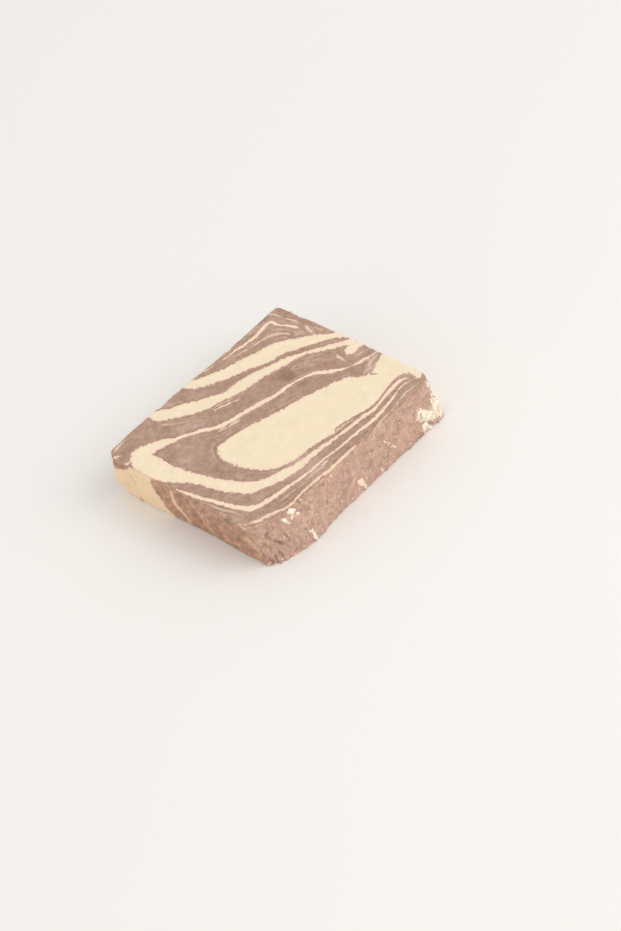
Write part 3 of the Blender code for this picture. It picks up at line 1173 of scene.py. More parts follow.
class Graph:
    """Adds and joins the nodes of one tree."""

    def __init__(self, tree: bpy.types.NodeTree) -> None:
        """Work on a tree.

        Args:
            tree: The tree.
        """
        self.tree = tree

    def add(self, kind: str, **settings: object) -> bpy.types.Node:
        """Add a node.

        Args:
            kind: Type of the node.
            settings: Its properties.

        Returns:
            The node.
        """
        node = self.tree.nodes.new(kind)
        for name, value in settings.items():
            setattr(node, name, value)
        return node

    def feed(self, socket: bpy.types.NodeSocket, value: object) -> None:
        """Give a socket a link or a number.

        Args:
            socket: An input.
            value: An output to link, or a plain value.
        """
        if isinstance(value, bpy.types.NodeSocket):
            self.tree.links.new(value, socket)
        else:
            socket.default_value = value

    def maths(self, operation: str, *values: object, clamp: bool = False) -> bpy.types.NodeSocket:
        """Add a sum.

        Args:
            operation: Name of the Math node's operation.
            values: Its inputs in order.
            clamp: Whether the result is kept within 0 and 1.

        Returns:
            The result.
        """
        node = self.add("ShaderNodeMath", operation=operation, use_clamp=clamp)
        for socket, value in zip(node.inputs, values):
            self.feed(socket, value)
        return node.outputs[0]

    def vector(self, operation: str, *values: object) -> bpy.types.NodeSocket:
        """Add a sum of vectors.

        Args:
            operation: Name of the Vector Math node's operation.
            values: Its inputs in order.

        Returns:
            The resulting vector.
        """
        node = self.add("ShaderNodeVectorMath", operation=operation)
        for socket, value in zip(node.inputs, values):
            self.feed(socket, value)
        return node.outputs[0]

    def ease(self, value: object, low: object, high: object) -> bpy.types.NodeSocket:
        """Ease a value from 0 at low to 1 at high."""
        return self.span(value, low, high, 0.0, 1.0, "SMOOTHSTEP")

    def span(
        self, value: object, low: object, high: object, start: object, end: object,
        kind: str = "LINEAR",
    ) -> bpy.types.NodeSocket:
        """Map one range to another.

        Args:
            value: The value.
            low: Start of its range.
            high: End of its range.
            start: Result at low.
            end: Result at high.
            kind: Interpolation of the Map Range node.

        Returns:
            The result.
        """
        node = self.add("ShaderNodeMapRange", interpolation_type=kind)
        for socket, number in zip(node.inputs, (value, low, high, start, end)):
            self.feed(socket, number)
        return node.outputs[0]

    def blend(self, share: object, low: object, high: object, kind: str = "MIX") -> bpy.types.NodeSocket:
        """Mix two colours.

        Args:
            share: From 0, the low colour, to 1, the high one.
            low: First colour.
            high: Second colour.
            kind: Blend type.

        Returns:
            The colour.
        """
        node = self.add("ShaderNodeMix", data_type="RGBA", blend_type=kind)
        self.feed(node.inputs["Factor"], share)
        self.feed(node.inputs["A"], low)
        self.feed(node.inputs["B"], high)
        return node.outputs["Result"]

    def noise(self, place: object, scale: object, detail: float = 2.0) -> bpy.types.NodeSocket:
        """Noise from 0 to 1, its scale in cells for each unit of the place."""
        node = self.add("ShaderNodeTexNoise", noise_dimensions="3D")
        self.feed(node.inputs["Vector"], place)
        self.feed(node.inputs["Scale"], scale)
        self.feed(node.inputs["Detail"], detail)
        return node.outputs[0]

    def cells(self, place: object, scale: object) -> bpy.types.Node:
        """Cells round scattered centres."""
        node = self.add("ShaderNodeTexVoronoi", voronoi_dimensions="3D", feature="F1")
        self.feed(node.inputs["Vector"], place)
        self.feed(node.inputs["Scale"], scale)
        return node

    def attribute(self, name: str) -> bpy.types.Node:
        """Read an attribute of the mesh."""
        return self.add("ShaderNodeAttribute", attribute_type="GEOMETRY", attribute_name=name)

    def parts(self, value: object) -> tuple[bpy.types.NodeSocket, ...]:
        """Split a vector into its three numbers."""
        node = self.add("ShaderNodeSeparateXYZ")
        self.feed(node.inputs[0], value)
        return tuple(node.outputs)

    def group(self, tree: bpy.types.NodeTree, **values: object) -> bpy.types.Node:
        """Place a node group.

        Args:
            tree: The group.
            values: Its inputs, by name, with _ for a space.

        Returns:
            The group's node.
        """
        node = self.add("ShaderNodeGroup", node_tree=tree)
        for name, value in values.items():
            self.feed(node.inputs[name.replace("_", " ")], value)
        return node

    def place_mm(self) -> bpy.types.NodeSocket:
        """Place on the piece in millimetres."""
        source = self.add("ShaderNodeTexCoord")
        return self.vector("MULTIPLY", source.outputs["Object"], (1000.0, 1000.0, 1000.0))


class SocketKind(Enum):
    """Kinds of socket that the groups have."""

    NUMBER = "NodeSocketFloat"
    VECTOR = "NodeSocketVector"


@dataclass
class EffectGroups:
    """Node groups that more than one finish places."""

    grain: bpy.types.NodeTree
    speck: bpy.types.NodeTree
    ragged: bpy.types.NodeTree

    @staticmethod
    def start(
        name: str, inputs: dict[str, SocketKind], outputs: dict[str, SocketKind]
    ) -> tuple[Graph, bpy.types.Node, bpy.types.Node]:
        """Open a new group.

        Args:
            name: Its name.
            inputs: Kinds of its inputs by name.
            outputs: Kinds of its outputs by name.

        Returns:
            The group's graph, its input node and its output node.
        """
        tree = bpy.data.node_groups.new(name, "ShaderNodeTree")
        for side, sockets in (("INPUT", inputs), ("OUTPUT", outputs)):
            for socket, kind in sockets.items():
                tree.interface.new_socket(socket, in_out=side, socket_type=kind.value)
        graph = Graph(tree)
        return graph, graph.add("NodeGroupInput"), graph.add("NodeGroupOutput")

    @classmethod
    def build(cls) -> "EffectGroups":
        """Make every group once."""
        return cls(cls.make_grain(), cls.make_speck(), cls.make_ragged())

    @classmethod
    def make_grain(cls) -> bpy.types.NodeTree:
        """Ground sesame: soft mottling of tone and the height of fine grains.

        Returns:
            The group. Tone multiplies a colour, Height is from 0 to 1.
        """
        graph, source, result = cls.start(
            "sesame_grain",
            {
                "Place": SocketKind.VECTOR, "Mottle Size": SocketKind.NUMBER,
                "Mottle": SocketKind.NUMBER, "Grain Size": SocketKind.NUMBER,
                "Grain": SocketKind.NUMBER,
            },
            {"Tone": SocketKind.NUMBER, "Height": SocketKind.NUMBER},
        )
        place = source.outputs["Place"]
        broad = graph.noise(place, graph.maths("DIVIDE", 1.0, source.outputs["Mottle Size"]), 1.0)
        scale = graph.maths("DIVIDE", 1.0, source.outputs["Grain Size"])
        fine = graph.noise(place, scale, 2.0)
        cells = graph.cells(place, graph.maths("MULTIPLY", scale, 0.8))
        bump = graph.maths("SUBTRACT", 1.0, cells.outputs["Distance"])
        broad_tone = graph.maths("MULTIPLY", graph.maths("SUBTRACT", broad, 0.5), source.outputs["Mottle"])
        fine_tone = graph.maths("MULTIPLY", graph.maths("SUBTRACT", fine, 0.5), source.outputs["Grain"])
        tone = graph.maths("ADD", graph.maths("ADD", broad_tone, fine_tone), 1.0)
        graph.feed(result.inputs["Tone"], tone)
        bump_share = graph.maths("MULTIPLY", bump, 0.4)
        graph.feed(result.inputs["Height"], graph.maths("MULTIPLY_ADD", fine, 0.6, bump_share))
        return graph.tree

    @classmethod
    def make_speck(cls) -> bpy.types.NodeTree:
        """Scattered specks of hull and seed.

        Returns:
            The group. Mask is 1 on a speck, and Share is the share of cells with one.
        """
        graph, source, result = cls.start(
            "sesame_speck",
            {
                "Place": SocketKind.VECTOR, "Spacing": SocketKind.NUMBER,
                "Radius": SocketKind.NUMBER, "Share": SocketKind.NUMBER,
            },
            {"Mask": SocketKind.NUMBER},
        )
        spacing = source.outputs["Spacing"]
        shift = graph.noise(source.outputs["Place"], graph.maths("DIVIDE", 1.6, spacing), 0.0)
        place = graph.vector("ADD", source.outputs["Place"], graph.maths("MULTIPLY", shift, spacing))
        cells = graph.cells(place, graph.maths("DIVIDE", 1.0, spacing))
        tone = graph.parts(cells.outputs["Color"])[0]
        radius = graph.maths("DIVIDE", source.outputs["Radius"], spacing)
        near = graph.ease(cells.outputs["Distance"], radius, graph.maths("MULTIPLY", radius, 0.55))
        chosen = graph.maths("LESS_THAN", tone, source.outputs["Share"])
        graph.feed(result.inputs["Mask"], graph.maths("MULTIPLY", near, chosen))
        return graph.tree

    @classmethod
    def make_ragged(cls) -> bpy.types.NodeTree:
        """Ragged border between two pastes.

        Returns:
            The group. Distance is in millimetres, more than 0 inside.
        """
        graph, source, result = cls.start(
            "ragged_border",
            {
                "Place": SocketKind.VECTOR, "Distance": SocketKind.NUMBER,
                "Wander": SocketKind.NUMBER, "Softness": SocketKind.NUMBER,
            },
            {"Mask": SocketKind.NUMBER},
        )
        coarse = graph.noise(source.outputs["Place"], 0.75, 1.0)
        fine = graph.noise(source.outputs["Place"], 2.3, 1.0)
        both = graph.maths("MULTIPLY_ADD", fine, 0.4, coarse)
        offset = graph.maths("MULTIPLY", graph.maths("SUBTRACT", both, 0.7), source.outputs["Wander"])
        distance = graph.maths("ADD", source.outputs["Distance"], offset)
        softness = source.outputs["Softness"]
        low = graph.maths("MULTIPLY", softness, -1.0)
        graph.feed(result.inputs["Mask"], graph.ease(distance, low, softness))
        return graph.tree


# ---------------------------------------------------------------------------
# Finishes
# ---------------------------------------------------------------------------


def new_material(name: str) -> tuple[bpy.types.Material, Graph, bpy.types.Node]:
    """Start a material.

    Args:
        name: Its name.

    Returns:
        The material, its graph and its Principled shader.
    """
    material = bpy.data.materials.new(name)
    material.use_nodes = True
    graph = Graph(material.node_tree)
    return material, graph, material.node_tree.nodes["Principled BSDF"]


@dataclass(frozen=True)
class PasteFinish:
    """Pale and cocoa halva paste, cut and crusty, matt and slightly waxy, with painted warm bounce light on
    its sides.
    """

    pale: Colour = (0.90, 0.765, 0.555, 1.0)
    pale_warm: Colour = (0.93, 0.705, 0.545, 1.0)
    cocoa: Colour = (0.442, 0.262, 0.198, 1.0)
    cocoa_olive: Colour = (0.410, 0.282, 0.195, 1.0)
    cocoa_light: Colour = (0.57, 0.39, 0.31, 1.0)
    cocoa_dark: Colour = (0.31, 0.185, 0.130, 1.0)
    crust: Colour = (0.578, 0.366, 0.286, 1.0)
    crust_tan: Colour = (0.556, 0.374, 0.288, 1.0)
    crust_light: Colour = (0.76, 0.55, 0.45, 1.0)
    torn_pale: Colour = (0.94, 0.85, 0.69, 1.0)
    # Painted warm bounce light: a warm tint multiplied onto the sides' colour, standing for light thrown back
    # onto them.
    painted_warm_bounce: Colour = (1.0, 0.905, 0.815, 1.0)
    wander: float = 2.3
    vein_wander: float = 1.2
    bump_depth: float = 0.00022

    def line(self, graph: Graph, groups: EffectGroups, place: object, name: str) -> bpy.types.NodeSocket:
        """Mask of one layer of lines.

        Args:
            graph: Graph of the material.
            groups: Shared node groups.
            place: Place in millimetres.
            name: Attribute of the layer.

        Returns:
            The mask, with each line's strength in it.
        """
        across, half, strength = graph.parts(graph.attribute(name).outputs["Vector"])
        distance = graph.maths("SUBTRACT", half, graph.maths("ABSOLUTE", across))
        narrow = graph.ease(half, 0.3, 1.8)
        wander = graph.span(narrow, 0.0, 1.0, self.vein_wander, self.wander)
        border = graph.group(
            groups.ragged, Place=place, Distance=distance, Wander=wander, Softness=0.18
        )
        return graph.maths("MULTIPLY", border.outputs["Mask"], strength)

    def material(self, groups: EffectGroups) -> bpy.types.Material:
        """Build the material.

        Args:
            groups: Shared node groups.

        Returns:
            The material.
        """
        material, graph, shader = new_material("marbled_halva")
        place = graph.place_mm()
        crust = graph.attribute("crust").outputs["Fac"]
        flow = graph.attribute("flow").outputs["Fac"]

        pool = graph.group(
            groups.ragged, Place=place, Distance=graph.attribute("fold").outputs["Fac"],
            Wander=self.wander, Softness=0.2,
        ).outputs["Mask"]
        lines = graph.maths(
            "MAXIMUM", self.line(graph, groups, place, "vein_a"), self.line(graph, groups, place, "vein_b")
        )
        pale = graph.maths("MAXIMUM", pool, lines)
        seam = self.line(graph, groups, place, "seam")
        pale = graph.maths("MULTIPLY", pale, graph.maths("SUBTRACT", 1.0, seam, clamp=True))
        crust_noise = graph.span(graph.noise(place, 0.8), 0, 1, -0.3, 0.3)
        crusty = graph.ease(graph.maths("ADD", crust, crust_noise), 0.3, 0.6)
        pale = graph.maths("MULTIPLY", pale, graph.maths("SUBTRACT", 1.0, crusty))
        pale_free = graph.maths("SUBTRACT", 1.0, pale)
        torn = graph.group(
            groups.ragged, Place=place, Distance=graph.attribute("torn").outputs["Fac"],
            Wander=5.0, Softness=0.3,
        ).outputs["Mask"]

        # Cocoa paste: lines that run with the folds, or down the cut sides, and grains.
        x, y, z = graph.parts(place)
        run = graph.add("ShaderNodeCombineXYZ")
        graph.feed(run.inputs[0], graph.maths("MULTIPLY", flow, 1.3))
        graph.feed(run.inputs[1], graph.maths("MULTIPLY", graph.maths("ADD", x, z), 0.06))
        graph.feed(run.inputs[2], graph.maths("MULTIPLY", y, 0.06))
        upright = graph.parts(graph.add("ShaderNodeNewGeometry").outputs["True Normal"])[2]
        beside = graph.ease(graph.maths("ABSOLUTE", upright), 0.85, 0.5)
        calm = graph.span(beside, 0.0, 1.0, 1.0, 0.25)
        streak = graph.maths("SUBTRACT", graph.noise(run.outputs[0], 1.0, 2.0), 0.46)
        streak = graph.maths("MULTIPLY_ADD", streak, calm, 0.46)
        hue = graph.maths("MULTIPLY", graph.ease(graph.noise(place, 0.42, 2.0), 0.40, 0.60), 0.7)
        cocoa = graph.blend(hue, self.cocoa, self.cocoa_olive)
        cocoa = graph.blend(graph.ease(streak, 0.48, 0.74), cocoa, self.cocoa_light)
        cocoa = graph.blend(graph.ease(streak, 0.44, 0.24), cocoa, self.cocoa_dark)
        smear = graph.add("ShaderNodeCombineXYZ")
        graph.feed(smear.inputs[0], x)
        graph.feed(smear.inputs[1], graph.maths("ADD", y, z))
        graph.feed(smear.inputs[2], graph.maths("MULTIPLY", graph.maths("SUBTRACT", y, z), 0.45))
        dragged = graph.noise(smear.outputs[0], 0.30, 2.0)
        drag_tone = graph.maths("MULTIPLY", graph.maths("SUBTRACT", dragged, 0.45), 1.7)
        drag_tone = graph.maths("MULTIPLY_ADD", drag_tone, beside, 1.0)
        cocoa = graph.blend(1.0, cocoa, drag_tone, "MULTIPLY")
        grain = graph.group(
            groups.grain, Place=place, Mottle_Size=2.4, Mottle=0.55, Grain_Size=0.8, Grain=0.70
        )
        cocoa = graph.blend(1.0, cocoa, grain.outputs["Tone"], "MULTIPLY")
        specks = graph.group(groups.speck, Place=place, Spacing=1.3, Radius=0.36, Share=0.16)
        cocoa = graph.blend(graph.maths("MULTIPLY", specks.outputs["Mask"], 0.55), cocoa, self.cocoa_light)
        dark = graph.group(groups.speck, Place=place, Spacing=2.1, Radius=0.45, Share=0.18)
        cocoa = graph.blend(graph.maths("MULTIPLY", dark.outputs["Mask"], 0.5), cocoa, self.cocoa_dark)
        chipped = graph.maths("MULTIPLY", graph.attribute("chipped").outputs["Fac"], 0.55)
        cocoa = graph.blend(chipped, cocoa, self.crust_light)

        # Crust: pressed crumbs, pinkish and tan, with dry light flecks.
        slow = graph.noise(place, 0.14, 2.0)
        crumb_colour = graph.blend(graph.ease(slow, 0.40, 0.60), self.crust, self.crust_tan)
        crust_grain = graph.group(
            groups.grain, Place=place, Mottle_Size=3.0, Mottle=0.62, Grain_Size=1.05, Grain=0.74
        )
        crumb_colour = graph.blend(1.0, crumb_colour, crust_grain.outputs["Tone"], "MULTIPLY")
        flecks = graph.group(groups.speck, Place=place, Spacing=1.7, Radius=0.42, Share=0.14)
        fleck_share = graph.maths("MULTIPLY", flecks.outputs["Mask"], 0.55)
        crumb_colour = graph.blend(fleck_share, crumb_colour, self.crust_light)
        crumb_dark = graph.group(groups.speck, Place=place, Spacing=2.3, Radius=0.45, Share=0.14)
        crumb_share = graph.maths("MULTIPLY", crumb_dark.outputs["Mask"], 0.4)
        crumb_colour = graph.blend(crumb_share, crumb_colour, self.cocoa_dark)

        # Pale paste: warmer where it thins into the cocoa.
        thin = graph.ease(graph.maths("ABSOLUTE", flow), 1.3, 0.5)
        cream = graph.blend(graph.maths("MULTIPLY", thin, 0.85), self.pale, self.pale_warm)
        cream_grain = graph.group(
            groups.grain, Place=place, Mottle_Size=4.0, Mottle=0.14, Grain_Size=0.8, Grain=0.16
        )
        cream = graph.blend(1.0, cream, cream_grain.outputs["Tone"], "MULTIPLY")

        # Painted warm bounce light: where the true normal is far from up or down, the paste colour is
        # multiplied by a warm tint that stands for light bounced onto the sides. It is not a colour of the
        # paste.
        own_paste_colour = graph.blend(pale, cocoa, cream)
        painted_warm_bounce = graph.blend(1.0, own_paste_colour, self.painted_warm_bounce, "MULTIPLY")
        crumbed = graph.maths("MULTIPLY", crusty, pale_free)
        paste_colour = graph.blend(beside, own_paste_colour, painted_warm_bounce)
        colour = graph.blend(crumbed, paste_colour, crumb_colour)
        torn_tone = graph.ease(graph.noise(place, 0.6, 2.0), 0.27, 0.37)
        colour = graph.blend(graph.maths("MULTIPLY", torn, torn_tone), colour, self.torn_pale)
        graph.feed(shader.inputs["Base Color"], colour)

        rough = graph.span(pale, 0.0, 1.0, 0.66, 0.56)
        rough = graph.maths("MULTIPLY_ADD", crusty, 0.16, rough)
        graph.feed(shader.inputs["Roughness"], rough)
        shader.inputs["Subsurface Weight"].default_value = 0.12
        shader.inputs["Subsurface Radius"].default_value = (1.0, 0.7, 0.45)
        shader.inputs["Subsurface Scale"].default_value = 0.0012

        height = graph.maths("MULTIPLY_ADD", crusty, crust_grain.outputs["Height"], grain.outputs["Height"])
        bump = graph.add("ShaderNodeBump")
        bump.inputs["Strength"].default_value = 0.5
        bump.inputs["Distance"].default_value = self.bump_depth
        graph.feed(bump.inputs["Height"], height)
        graph.feed(shader.inputs["Normal"], bump.outputs["Normal"])
        return material


@dataclass(frozen=True)
class BitFinish:
    """Loose bits of halva: crumbs and flakes of one colour that varies from bit to bit."""

    name: str
    colour: Colour
    other: Colour
    roughness: float = 0.72

    def material(self, groups: EffectGroups) -> bpy.types.Material:
        """Build the material.

        Args:
            groups: Shared node groups.

        Returns:
            The material.
        """
        material, graph, shader = new_material(self.name)
        place = graph.place_mm()
        colour = graph.blend(graph.attribute("tone").outputs["Fac"], self.colour, self.other)
        grain = graph.group(
            groups.grain, Place=place, Mottle_Size=1.2, Mottle=0.16, Grain_Size=0.4, Grain=0.22
        )
        colour = graph.blend(1.0, colour, grain.outputs["Tone"], "MULTIPLY")
        graph.feed(shader.inputs["Base Color"], colour)
        graph.feed(shader.inputs["Roughness"], graph.span(grain.outputs["Height"], 0, 1, self.roughness, 0.9))
        shader.inputs["Subsurface Weight"].default_value = 0.1
        shader.inputs["Subsurface Scale"].default_value = 0.001
        bump = graph.add("ShaderNodeBump")
        bump.inputs["Strength"].default_value = 0.4
        bump.inputs["Distance"].default_value = 0.0001
        graph.feed(bump.inputs["Height"], grain.outputs["Height"])
        graph.feed(shader.inputs["Normal"], bump.outputs["Normal"])
        return material


@dataclass(frozen=True)
class FloorFinish:
    """Plain pale matt floor."""

    colour: Colour = (0.90, 0.885, 0.865, 1.0)

    def material(self) -> bpy.types.Material:
        """Build the material."""
        material, graph, shader = new_material("pale_floor")
        tone = graph.span(graph.noise(graph.place_mm(), 0.004, 1.0), 0.3, 0.7, 0.985, 1.0)
        graph.feed(shader.inputs["Base Color"], graph.blend(1.0, self.colour, tone, "MULTIPLY"))
        shader.inputs["Roughness"].default_value = 0.9
        return material


# ---------------------------------------------------------------------------
# Pieces
# ---------------------------------------------------------------------------


def piece_from(name: str, points: np.ndarray, faces: list) -> bpy.types.Object:
    """Make a piece.

    Args:
        name: Its name.
        points: Points in millimetres, one a row.
        faces: Numbers of the points round each face.

    Returns:
        The piece, shaded smooth.
    """
    mesh = bpy.data.meshes.new(name)
    mesh.from_pydata((points * METRES_PER_MM).tolist(), [], faces)
    mesh.validate()
    mesh.shade_smooth()
    item = bpy.data.objects.new(name, mesh)
    bpy.context.scene.collection.objects.link(item)
    return item


def hand_over(piece: bpy.types.Object, material: bpy.types.Material) -> None:
    """Dress a piece and tie it to the frame.

    Args:
        piece: The piece.
        material: Its material.
    """
    piece.data.materials.append(material)
    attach(piece, BODY)
    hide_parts(NODE)


def write_attribute(mesh: bpy.types.Mesh, name: str, values: np.ndarray) -> None:
    """Store numbers on a mesh's points.

    Args:
        mesh: The mesh.
        name: Name of the attribute.
        values: One number, or three, for each point.
    """
    if values.ndim == 2:
        attribute = mesh.attributes.new(name, "FLOAT_VECTOR", "POINT")
        attribute.data.foreach_set("vector", values.astype(np.float32).ravel())
    else:
        attribute = mesh.attributes.new(name, "FLOAT", "POINT")
        attribute.data.foreach_set("value", values.astype(np.float32))


@dataclass
class MarbledSlice:
    """The slice itself: form, relief and marbling."""

    form: SliceForm
    relief: Relief
    marbling: Marbling
    finish: PasteFinish

    def build(self) -> bpy.types.Object:
        """Make the slice's mesh, with its attributes.

        Returns:
            The piece.
        """
        points, faces = self.form.base_mesh()
        points = self.centred(points)
        piece = piece_from("marbled_slice", points, faces)
        normals = np.zeros(len(points) * 3, np.float32)
        piece.data.vertices.foreach_get("normal", normals)
        self.skin = self.form.skin(points, normals.reshape(-1, 3).astype(float))
        marks = self.marbling.attributes(self.skin, self.form)
        marks["chipped"] = np.clip(self.relief.of_edges(self.skin) / 0.5, 0, 1)
        rise = self.relief.height(self.skin, self.form, marks["torn"])
        self.points = points + self.skin.normals * rise[:, None]
        self.points[:, 2] = np.maximum(self.points[:, 2], 0.0)
        piece.data.vertices.foreach_set("co", (self.points * METRES_PER_MM).astype(np.float32).ravel())
        piece.data.update()
        for name, values in marks.items():
            write_attribute(piece.data, name, values)
        self.torn = marks["torn"]
        return piece

    @staticmethod
    def centred(points: np.ndarray) -> np.ndarray:
        """Lay the form over the solid.

        Args:
            points: Points round the slice's own middle.

        Returns:
            The points, moved so that the middles of both boxes agree.
        """
        low, high = (np.array(corner) / METRES_PER_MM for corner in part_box(NODE))
        middle = (points.min(axis=0) + points.max(axis=0)) / 2
        shift = (low + high) / 2 - middle
        shift[2] = low[2]
        return points + shift

    def dress(self, piece: bpy.types.Object, groups: EffectGroups) -> None:
        """Give the slice its paste.

        Args:
            piece: The slice's piece.
            groups: Shared node groups.
        """
        hand_over(piece, self.finish.material(groups))


def rough_ball(fineness: int) -> tuple[np.ndarray, np.ndarray]:
    """A ball to shape bits from.

    Args:
        fineness: How often its triangles are divided.

    Returns:
        Its points, and the points round each of its triangles.
    """
    form = bmesh.new()
    bmesh.ops.create_icosphere(form, subdivisions=fineness, radius=1.0)
    points = np.array([vertex.co[:] for vertex in form.verts])
    faces = np.array([[vertex.index for vertex in face.verts] for face in form.faces])
    form.free()
    return points, faces


def joined_bits(
    name: str,
    balls: list[np.ndarray],
    triangles: np.ndarray,
    tones: list[float],
) -> bpy.types.Object:
    """Join bits in one piece.

    Args:
        name: Name of the piece.
        balls: Points of each bit.
        triangles: Triangles of every bit, in its own points.
        tones: A tone for each bit.

    Returns:
        The piece.
    """
    count = len(balls[0])
    faces = np.concatenate([triangles + number * count for number in range(len(balls))])
    points = np.concatenate(balls)
    points[:, 2] = np.maximum(points[:, 2], 0.0)
    piece = piece_from(name, points, faces.tolist())
    write_attribute(piece.data, "tone", np.repeat(tones, count))
    return piece


@dataclass
class ClingingBits:
    """Bits of halva scattered over the surface, joined in one mesh."""

    name: str
    count: int
    smallest: float
    largest: float
    flatness: float
    finish: BitFinish
    seed: int
    fineness: int = 2

    def build(self, skin: Skin, surface: np.ndarray, weights: np.ndarray) -> bpy.types.Object:
        """Scatter the bits over the surface.

        Args:
            skin: The surface before its relief.
            surface: Points of the surface with its relief.
            weights: How likely each point is to hold a bit.

        Returns:
            The piece.
        """
        draw = np.random.default_rng(self.seed)
        noise = SmoothNoise(self.seed + 3)
        ball, triangles = rough_ball(self.fineness)
        chosen = draw.choice(len(surface), self.count, replace=False, p=weights / weights.sum())
        balls = []
        for number, index in enumerate(chosen):
            size = self.smallest + (self.largest - self.smallest) * draw.random() ** 2.2
            lumps = 1 + 0.35 * noise.at(ball * 1.3 + number * 7.1) + 0.18 * noise.at(ball * 2.9 + number)
            shares = np.array((1.0, draw.uniform(0.6, 1.0), self.flatness * draw.uniform(0.7, 1.2)))
            shaped = ball * lumps[:, None] * shares * size / 2
            outward = Vector(skin.normals[index] + 0.25 * draw.normal(size=3)).normalized()
            spin = Matrix.Rotation(draw.uniform(0, 2 * math.pi), 3, "Z")
            turn = np.array(outward.to_track_quat("Z", "X").to_matrix() @ spin)
            balls.append(shaped @ turn.T + surface[index] + 0.1 * size * np.array(outward))
        return joined_bits(self.name, balls, triangles, draw.random(self.count).tolist())

    def dress(self, piece: bpy.types.Object, groups: EffectGroups) -> None:
        """Give the bits their finish.

        Args:
            piece: The joined bits.
            groups: Shared node groups.
        """
        hand_over(piece, self.finish.material(groups))


@dataclass(frozen=True)
class Flake:
    """A flake on the crust: its middle, sizes, turn in degrees, and tone from white to peach."""

    middle: Place
    length: float
    width: float
    turn: float
    tone: float


@dataclass
class CrustFlakes:
    """Pale flakes pressed into the crust, each in its own place."""

    finish: BitFinish
    flakes: tuple[Flake, ...] = (
        Flake((-34.2, 16.0), 4.6, 1.7, -58, 0.0),
        Flake((-31.8, 16.0), 2.6, 1.2, 50, 0.55),
        Flake((-30.4, 17.4), 4.0, 2.9, -30, 0.0),
        Flake((-28.6, 15.8), 2.4, 1.2, -50, 0.5),
        Flake((-24.8, 19.2), 1.9, 1.0, -20, 0.8),
        Flake((-26.7, 5.6), 3.4, 1.5, -60, 0.55),
        Flake((-25.9, 2.6), 4.2, 1.7, -80, 0.3),
        Flake((-9.8, 18.6), 1.7, 0.9, -60, 0.9),
        Flake((2.0, 4.9), 4.2, 2.7, -52, 0.7),
        Flake((3.4, 2.2), 3.6, 1.5, -80, 0.6),
        Flake((12.8, 1.9), 2.0, 1.3, -70, 0.8),
        Flake((17.9, 12.3), 2.4, 0.9, -58, 0.9),
        Flake((19.2, 10.2), 1.8, 0.8, 10, 0.9),
        Flake((21.0, 7.2), 3.4, 0.9, -52, 0.85),
        Flake((28.4, 2.2), 1.6, 0.8, -60, 0.9),
        Flake((36.2, 9.4), 3.4, 2.4, 40, 0.0),
        Flake((37.4, 3.4), 3.6, 2.6, 65, 0.15),
        Flake((40.4, 6.2), 4.6, 2.6, 35, 0.0),
        Flake((43.8, 6.6), 4.8, 3.2, 62, 0.0),
        Flake((46.6, 16.4), 4.2, 1.7, -82, 0.3),
    )
    seed: int = 71
    thickness: float = 0.36

    def build(self, skin: Skin, surface: np.ndarray, shift: Place) -> bpy.types.Object:
        """Lay the flakes on the crust.

        Args:
            skin: The surface before its relief.
            surface: Points of the surface with its relief.
            shift: Place of the pattern's origin.

        Returns:
            The piece.
        """
        noise = SmoothNoise(self.seed)
        ball, triangles = rough_ball(3)
        facing, spots = side_view(skin, Side.FRONT)
        front = np.flatnonzero(facing > 0.5)
        balls = []
        for number, flake in enumerate(self.flakes):
            wanted = np.array((flake.middle[0] + shift[0], flake.middle[1]))
            index = front[np.argmin(np.linalg.norm(spots[front] - wanted, axis=1))]
            outward = skin.normals[index]
            level = np.cross(outward, (0.0, 0.0, 1.0))
            level /= -np.linalg.norm(level)
            rise = np.cross(level, outward) * -1
            turn = math.radians(flake.turn)
            along = level * math.cos(turn) + rise * math.sin(turn)
            across = np.cross(outward, along)
            lumps = 1 + 0.45 * noise.at(ball * 1.5 + number * 5.3) + 0.25 * noise.at(ball * 3.7 + number)
            flake_extent = np.array((flake.length, flake.width, self.thickness * flake.width))
            shaped = ball * lumps[:, None] * flake_extent / 2
            balls.append(shaped @ np.array((along, across, outward)) + surface[index])
        return joined_bits("crust_flakes", balls, triangles, [flake.tone for flake in self.flakes])

    def dress(self, piece: bpy.types.Object, groups: EffectGroups) -> None:
        """Give the flakes their finish.

        Args:
            piece: The joined flakes.
            groups: Shared node groups.
        """
        hand_over(piece, self.finish.material(groups))


# ---------------------------------------------------------------------------
# Studio
# ---------------------------------------------------------------------------


@dataclass(frozen=True)
class SoftLight:
    """A square soft light, aimed at the slice."""

    name: str
    azimuth: float
    elevation: float
    distance: float
    size: float
    power: float
    colour: tuple[float, float, float] = (1.0, 1.0, 1.0)

    def build(self) -> None:
        """Hang the light."""
        light = bpy.data.lights.new(self.name, "AREA")
        light.shape = "SQUARE"
        light.size = self.size
        light.energy = self.power
        light.color = self.colour
        item = bpy.data.objects.new(self.name, light)
        turn, rise = math.radians(self.azimuth), math.radians(self.elevation)
        away = Vector((math.sin(turn) * math.cos(rise), -math.cos(turn) * math.cos(rise), math.sin(rise)))
        item.location = away * self.distance
        item.rotation_mode = "QUATERNION"
        item.rotation_quaternion = away.to_track_quat("Z", "Y")
        bpy.context.scene.collection.objects.link(item)


